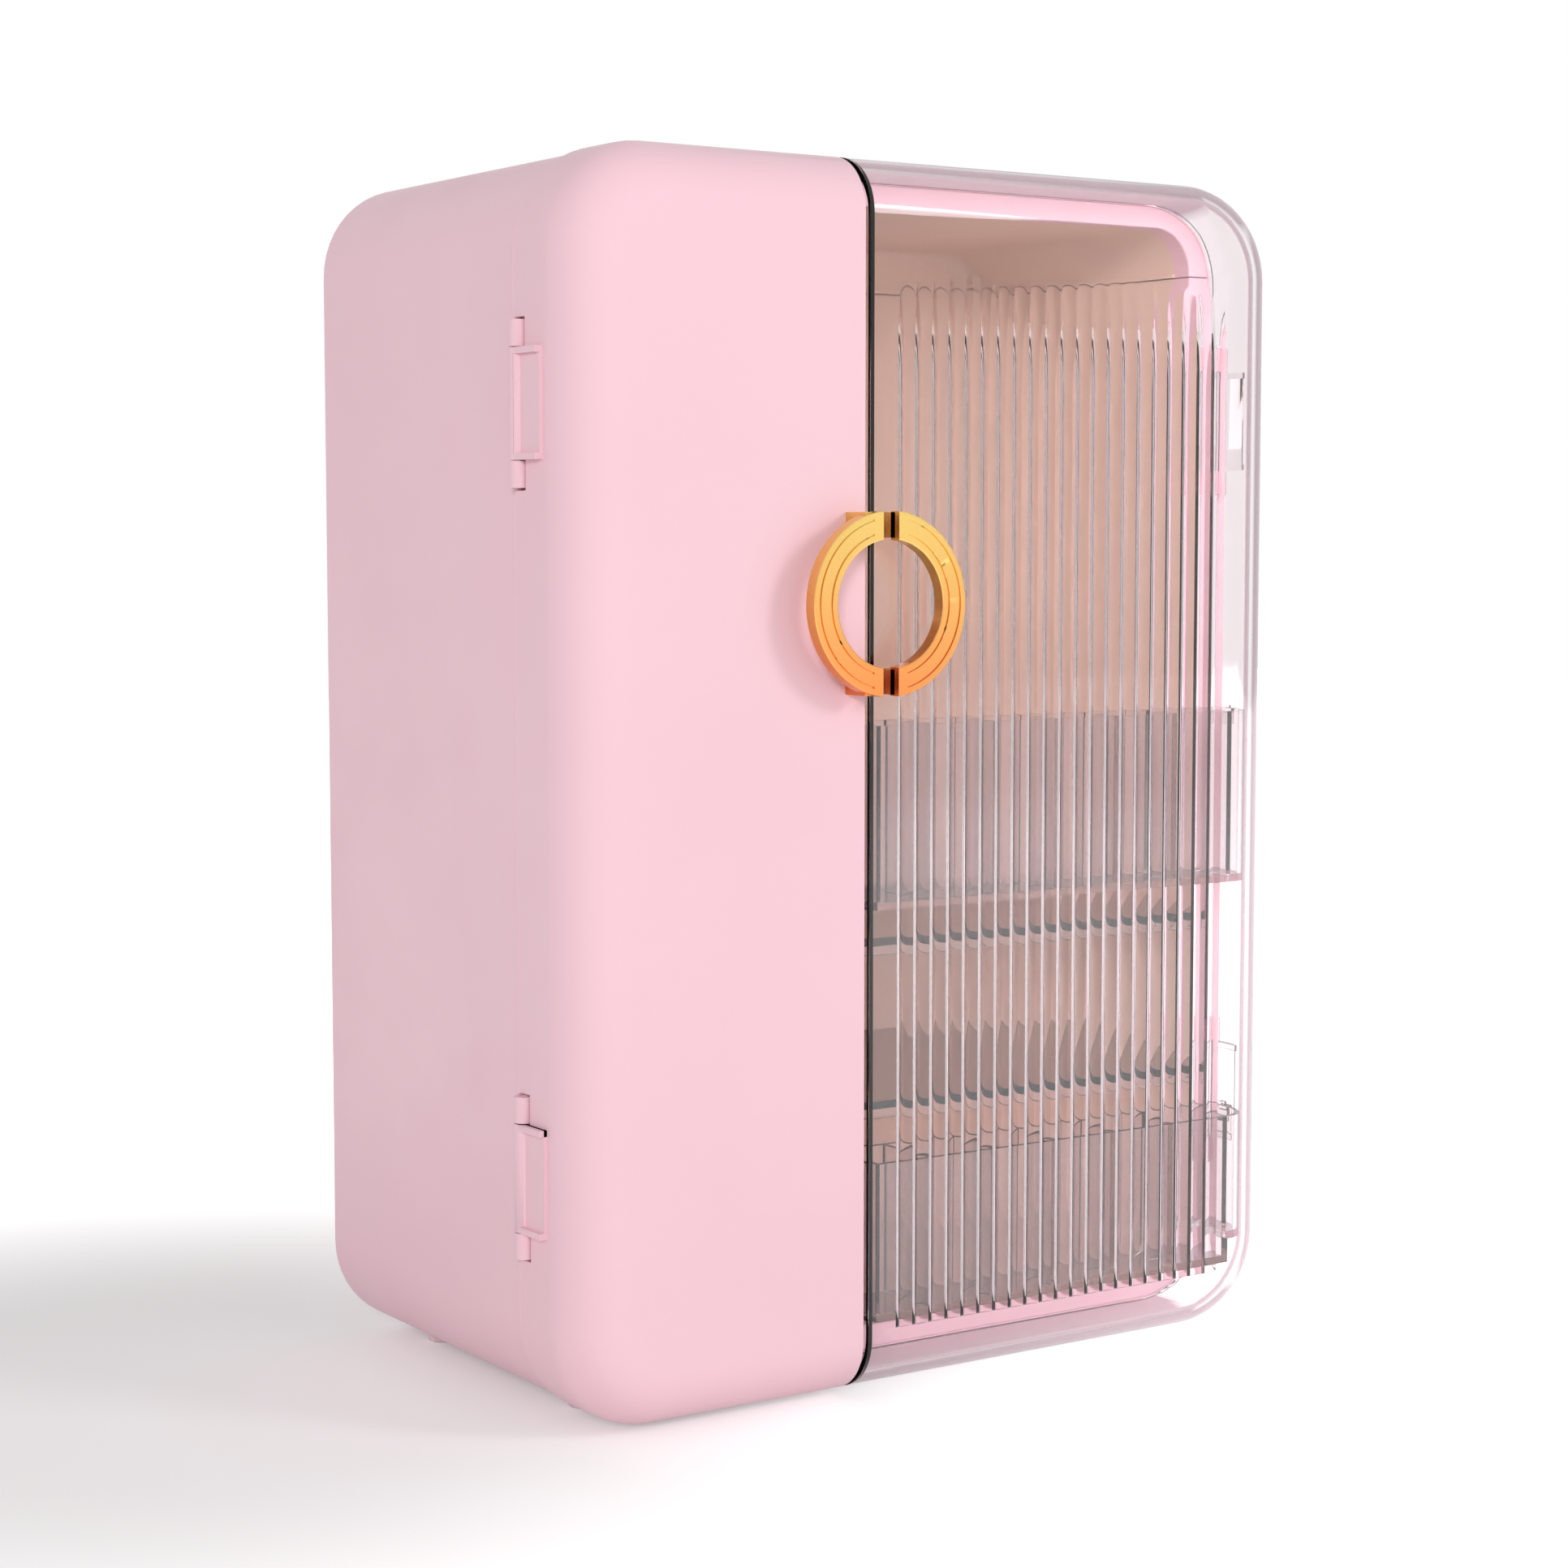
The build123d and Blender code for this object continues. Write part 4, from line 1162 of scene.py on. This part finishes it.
def merge_objects(name, objects):
    """One object out of several finished ones."""
    bm = bmesh.new()
    for obj in objects:
        bm.from_mesh(obj.data)
        bpy.data.objects.remove(obj)
    return soften(new_object(name, bm), 0)


class CABINET_OT_left_door(bpy.types.Operator):
    """Narrow solid door"""

    bl_idname = "cabinet.left_door"
    bl_label = "Narrow door"

    def execute(self, context):
        shell = door_shell(context.scene.cabinet_body, context.scene.cabinet_doors, "left", -1)
        pink = finish_named(context, "pink_plastic")
        dress(soften(shell, DOOR_EASE), pink, "left_door", "left_door_shell", slot="pink_shell")
        paint("left_tray_ledges", pink)
        return {"FINISHED"}


class CABINET_OT_right_door(bpy.types.Operator):
    """Wide clear door, fluted on the inside of its front"""

    bl_idname = "cabinet.right_door"
    bl_label = "Clear door"

    def execute(self, context):
        doors = context.scene.cabinet_doors
        clear = finish_named(context, "clear_door_acrylic")
        shell = door_shell(context.scene.cabinet_body, doors, "right", 1)
        left = DOOR_LOW.x + doors.flute_start
        flat = DOOR_HIGH.x - doors.rounding
        sizes = {
            "Count": int((flat - left) / doors.flute_pitch),
            "Steps": FLUTE_STEPS,
            "Rows": FLUTE_ROWS,
            "Pitch": doors.flute_pitch,
            "Depth": doors.flute_depth,
            "Sunk": doors.wall / 4,
            "Left": left,
            "Panel": DOOR_LOW.y + doors.wall,
            "Low": SHELL_LOW.z + doors.flute_low,
            "High": SHELL_HIGH.z - doors.flute_drop,
            "Fade": doors.flute_fade,
        }
        comb = flute_tree().run("flute_comb", sizes, clear)
        bm = bmesh.new()
        bm.from_mesh(comb.data)
        bmesh.ops.recalc_face_normals(bm, faces=bm.faces)
        bpy.data.objects.remove(comb)
        carve(shell, bm, "UNION")
        nodes = ("right_door_shell", "right_door_pane")
        dress(soften(shell, DOOR_EASE), clear, "right_door", *nodes, slot="clear_door")
        paint("right_tray_ledges", clear)
        return {"FINISHED"}


class CABINET_OT_gap_shade_strips(bpy.types.Operator):
    """Black strips on the doors' meeting edges: painted shade put where the gap between the doors is dark"""

    bl_idname = "cabinet.seals"
    bl_label = "Meeting strips"

    def execute(self, context):
        body, doors = context.scene.cabinet_body, context.scene.cabinet_doors
        black = finish_named(context, "black_gap_shade")
        for name, _ in SIDES:
            low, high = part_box(name + "_seam_strip")
            outer = self.sheet(body, doors, 0.0, high.y)
            inner = self.sheet(body, doors, doors.strip_width, high.y + FAR_PAST)
            strip = new_object(name + "_strip", outer)
            carve(strip, inner, "DIFFERENCE")
            for x, normal in ((low.x, -1), (high.x, 1)):
                bm = bmesh.new()
                bm.from_mesh(strip.data)
                cut(bm, (x, 0, 0), (normal, 0, 0)).to_mesh(strip.data)
                bm.free()
            soften(strip, STRIP_EASE)
            dress(strip, black, name + "_door", name + "_seam_strip", slot="black_strip")
        return {"FINISHED"}

    def sheet(self, body, doors, extra, back):
        """A rounded block inside the doors' outline, drawn in by the strips' own places and by extra."""
        inset = doors.strip_inset + extra - doors.over
        set_back = doors.strip_set + extra
        return door_block(body, inset, DOOR_LOW.y + set_back, doors.rounding - set_back, back, 0.0)


def bevel_upright(bm, x, y, radius):
    """Round the one upright edge of a box that stands at x, y."""
    near = [
        e for e in bm.edges
        if all(abs(v.co.x - x) < TOUCHING and abs(v.co.y - y) < TOUCHING for v in e.verts)
    ]
    bmesh.ops.bevel(bm, geom=near, offset=radius, segments=10, profile=0.5, affect="EDGES")


def tray_piece(trays, name, side, level):
    """Bin with dividers, a raised end cell where the door's corner is round, and a lip at each end."""
    node = name + "_" + level + "_tray"
    low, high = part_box(node)
    x0, x1 = (low.x, high.x) if side > 0 else (-high.x, -low.x)
    x0, x1 = x0 + trays.lip_reach, x1 - trays.lip_reach
    step = trays.step if level == "lower" else 0.0
    last = x1 - trays.wall * 1.5 - trays.end_cell
    half = trays.wall / 2
    main = block((x0, low.y, low.z), (last + half, high.y, high.z))
    end = block((last - half, low.y, low.z + step), (x1, high.y, high.z))
    bevel_upright(end, x1, low.y, trays.corner)
    tray = new_object(name + "_" + level + "_bin", main)
    carve(tray, end, "UNION")
    walls = [last]
    while walls[-1] - trays.pitch > x0 + trays.least_cell:
        walls.append(walls[-1] - trays.pitch)
    edges = [x0 + half] + walls[::-1] + [x1 - half]
    front, rear = low.y + trays.wall, high.y - trays.wall
    for i, (a, b) in enumerate(zip(edges, edges[1:])):
        is_end = i == len(edges) - 2
        floor = low.z + trays.floor + (step if is_end else 0)
        cell = block((a + half, front, floor), (b - half, rear, high.z + FAR_PAST))
        if is_end:
            bevel_upright(cell, b - half, front, trays.corner - trays.wall)
        carve(tray, cell, "DIFFERENCE")
    ledge_low, ledge_high = clusters(name + "_tray_ledges")[0]
    tooth = (ledge_low.y + ledge_high.y) / 2
    reach = trays.lip_reach
    for left, right in ((x0 - reach, x0 + OVERLAP), (x1 - OVERLAP, x1 + reach)):
        for y0, y1 in ((ledge_low.y, tooth - TOOTH_GAP / 2), (tooth + TOOTH_GAP / 2, ledge_high.y)):
            carve(tray, block((left, y0, high.z - trays.lip), (right, y1, high.z)), "UNION")
    soften(tray, trays.ease)
    if side < 0:
        tray.data.transform(Matrix.Diagonal((-1, 1, 1, 1)))
        tray.data.flip_normals()
        soften(tray, 0)
    return tray, node


class CABINET_OT_trays(bpy.types.Operator):
    """Clear bins that hang in the doors"""

    bl_idname = "cabinet.trays"
    bl_label = "Door trays"

    def execute(self, context):
        clear = finish_named(context, "clear_tray_acrylic")
        for name, side in SIDES:
            for level in TRAY_LEVELS:
                tray, node = tray_piece(context.scene.cabinet_trays, name, side, level)
                dress(tray, clear, node + "_body", node, slot="clear_tray")
        return {"FINISHED"}


def ring_mesh(middle, outer, inner, y0, y1, ease):
    """A flat ring round an axis along Y, its front edges rounded."""
    corners = [Vector((outer, y1)), Vector((outer, y0)), Vector((inner, y0)), Vector((inner, y1))]
    profile = eased(corners, [0, ease, ease, 0], 3, closed=True)
    rings = []
    for a in turns(RING_STEPS):
        x, z = math.cos(a), math.sin(a)
        rings.append([Vector((middle.x + p.x * x, p.y, middle.z + p.x * z)) for p in profile])
    return loft(rings, closed=True)


class CABINET_OT_pulls(bpy.types.Operator):
    """Two halves of a flat grooved ring on posts"""

    bl_idname = "cabinet.pulls"
    bl_label = "Ring pull"

    def execute(self, context):
        gold = finish_named(context, "gold_plating")
        for name, side in SIDES:
            obj = self.half(context.scene.cabinet_pulls, name, side)
            dress(soften(obj, RING_EASE), gold, name + "_door", name + "_pull", slot="gold_pull")
        return {"FINISHED"}

    def half(self, pulls, name, side):
        low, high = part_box(name + "_pull")
        split = (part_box("left_pull")[1].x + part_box("right_pull")[0].x) / 2
        middle = Vector((split, 0, (low.z + high.z) / 2))
        inner = pulls.radius - pulls.band
        band = ring_mesh(middle, pulls.radius, inner, low.y, low.y + pulls.thick, pulls.ease)
        edge = (split + side * pulls.split / 2, 0, 0)
        obj = new_object(name + "_ring", cut(band, edge, (-side, 0, 0)))
        for inset in (pulls.groove_outer, pulls.groove_inner):
            radius = pulls.radius - inset
            wide, narrow = radius + pulls.groove / 2, radius - pulls.groove / 2
            groove = ring_mesh(middle, wide, narrow, low.y - PAST, low.y + pulls.groove_deep, 0.0)
            cut(groove, (split + side * pulls.groove_end, 0, 0), (-side, 0, 0))
            carve(obj, groove, "DIFFERENCE")
        near = pulls.split / 2
        x0, x1 = sorted((split + side * near, split + side * (near + pulls.post)))
        half = pulls.band / 2 - pulls.post_set
        for up in (-1, 1):
            z = middle.z + up * (pulls.radius - pulls.band / 2)
            carve(obj, block((x0, low.y + pulls.thick / 2, z - half), (x1, high.y, z + half)), "UNION")
        return obj


class CABINET_OT_stage(bpy.types.Operator):
    """Floor, lamps, sky and camera"""

    bl_idname = "cabinet.stage"
    bl_label = "Stage"

    def execute(self, context):
        stage = context.scene.cabinet_stage
        self.floor(stage)
        self.sky(context, stage)
        self.lamp("key_lamp", KEY_SPOT, KEY_SIZE, stage.key)
        self.lamp("fill_lamp", FILL_SPOT, FILL_SIZE, stage.fill)
        self.camera(context, stage)
        context.scene.view_settings.view_transform = "Standard"
        return {"FINISHED"}

    def floor(self, stage):
        half = stage.floor_size / 2
        bm = bmesh.new()
        corners = ((-half, -half), (half, -half), (half, half), (-half, half))
        bm.faces.new([bm.verts.new((x, y, 0)) for x, y in corners])
        floor = new_object("floor", bm)
        finish = Finish("floor_white")
        tree, place = finish.tree, finish.place
        tree.nodes.remove(finish.shader)
        diffuse = finish.add("ShaderNodeBsdfDiffuse")
        diffuse.inputs["Color"].default_value = FLOOR_WHITE
        # Painted shadow: the floor's glow is low round a spot left of the cabinet and rises to plain white
        # further out.
        reach = finish.add("ShaderNodeVectorMath", operation="DISTANCE")
        reach.inputs[1].default_value = (stage.near_x, stage.near_y, 0)
        finish.link(place, reach.inputs[0])
        glow_with_painted_shadow = finish.range(reach.outputs["Value"], stage.near_glow, 1.0, stage.near, stage.far)
        glow_with_painted_shadow.node.interpolation_type = "SMOOTHSTEP"
        glow = finish.add("ShaderNodeEmission")
        finish.link(seen_directly(tree, glow_with_painted_shadow), glow.inputs["Strength"])
        both = finish.add("ShaderNodeAddShader")
        finish.link(diffuse.outputs[0], both.inputs[0])
        finish.link(glow.outputs[0], both.inputs[1])
        finish.link(both.outputs[0], finish.output.inputs["Surface"])
        floor.data.materials.append(finish.material)

    def sky(self, context, stage):
        world = bpy.data.worlds.new("studio_sky")
        world.use_nodes = True
        tree = world.node_tree
        tree.nodes.clear()
        add, link = tree.nodes.new, tree.links.new
        light, white = (add("ShaderNodeBackground") for _ in range(2))
        for background in (light, white):
            background.inputs["Color"].default_value = (1, 1, 1, 1)
        direction = add("ShaderNodeSeparateXYZ")
        link(add("ShaderNodeTexCoord").outputs["Generated"], direction.inputs[0])
        height = add("ShaderNodeMapRange")
        height.inputs["From Min"].default_value = SKY_LOW
        height.inputs["From Max"].default_value = SKY_HIGH
        height.inputs["To Min"].default_value = stage.sky
        height.inputs["To Max"].default_value = stage.zenith
        link(direction.outputs["Z"], height.inputs["Value"])
        link(height.outputs["Result"], light.inputs["Strength"])
        mix = add("ShaderNodeMixShader")
        link(seen_directly(tree, 1.0), mix.inputs[0])
        link(light.outputs[0], mix.inputs[1])
        link(white.outputs[0], mix.inputs[2])
        link(mix.outputs[0], add("ShaderNodeOutputWorld").inputs["Surface"])
        context.scene.world = world

    def lamp(self, name, spot, size, power):
        light = bpy.data.lights.new(name, "AREA")
        light.shape = "DISK"
        light.size = size
        light.energy = power
        obj = bpy.data.objects.new(name, light)
        obj.location = spot
        obj.rotation_euler = (Vector(LIT_SPOT) - Vector(spot)).to_track_quat("-Z", "Y").to_euler()
        obj.visible_glossy = False
        bpy.context.scene.collection.objects.link(obj)

    def camera(self, context, stage):
        data = bpy.data.cameras.new("camera")
        data.lens = stage.lens
        data.sensor_width = 36.0
        obj = bpy.data.objects.new("camera", data)
        obj.location = (stage.camera_x, stage.camera_y, stage.camera_z)
        obj.rotation_euler = (math.pi / 2 - stage.tilt, 0, -stage.turn)
        context.scene.collection.objects.link(obj)
        context.scene.camera = obj


def seen_directly(tree, strength):
    """Strength for rays from the camera and those seen in gloss or through glass, and 0 for the rest."""
    path = tree.nodes.new("ShaderNodeLightPath")
    total = path.outputs["Is Camera Ray"]
    for key in ("Is Glossy Ray", "Is Transmission Ray"):
        either = tree.nodes.new("ShaderNodeMath")
        either.operation = "MAXIMUM"
        tree.links.new(total, either.inputs[0])
        tree.links.new(path.outputs[key], either.inputs[1])
        total = either.outputs[0]
    scaled = tree.nodes.new("ShaderNodeMath")
    scaled.operation = "MULTIPLY"
    if isinstance(strength, bpy.types.NodeSocket):
        tree.links.new(strength, scaled.inputs[1])
    else:
        scaled.inputs[1].default_value = strength
    tree.links.new(total, scaled.inputs[0])
    return scaled.outputs[0]


OPERATORS = (
    CABINET_OT_stage, CABINET_OT_shell, CABINET_OT_rim, CABINET_OT_liner, CABINET_OT_back, CABINET_OT_feet,
    CABINET_OT_shelves, CABINET_OT_hinges, CABINET_OT_left_door, CABINET_OT_right_door, CABINET_OT_gap_shade_strips,
    CABINET_OT_trays, CABINET_OT_pulls, CABINET_OT_screws,
)
SETTINGS = {
    "cabinet_body": CabinetBodySizes, "cabinet_doors": CabinetDoorSizes, "cabinet_trays": CabinetTraySizes,
    "cabinet_pulls": CabinetPullSizes, "cabinet_stage": CabinetStageSizes,
}


class CABINET_PT_panel(bpy.types.Panel):
    """Sizes, colours and steps of the cabinet"""

    bl_idname = "CABINET_PT_panel"
    bl_label = "Cosmetics cabinet"
    bl_space_type = "VIEW_3D"
    bl_region_type = "UI"
    bl_category = "Cabinet"

    def draw(self, context):
        layout = self.layout
        for key, group in SETTINGS.items():
            box = layout.box()
            box.label(text=group.__doc__)
            for name in group.__annotations__:
                box.prop(getattr(context.scene, key), name)
        for operator in OPERATORS:
            layout.operator(operator.bl_idname)


def register():
    for group in SETTINGS.values():
        bpy.utils.register_class(group)
    for key, group in SETTINGS.items():
        setattr(bpy.types.Scene, key, PointerProperty(type=group))
    for operator in OPERATORS:
        bpy.utils.register_class(operator)
    bpy.utils.register_class(CABINET_PT_panel)


def unregister():
    bpy.utils.unregister_class(CABINET_PT_panel)
    for operator in reversed(OPERATORS):
        bpy.utils.unregister_class(operator)
    for key in SETTINGS:
        delattr(bpy.types.Scene, key)
    for group in reversed(list(SETTINGS.values())):
        bpy.utils.unregister_class(group)


def main():
    register()
    for operator in OPERATORS:
        group, name = operator.bl_idname.split(".")
        getattr(getattr(bpy.ops, group), name)()
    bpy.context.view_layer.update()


if __name__ == "__main__":
    main()
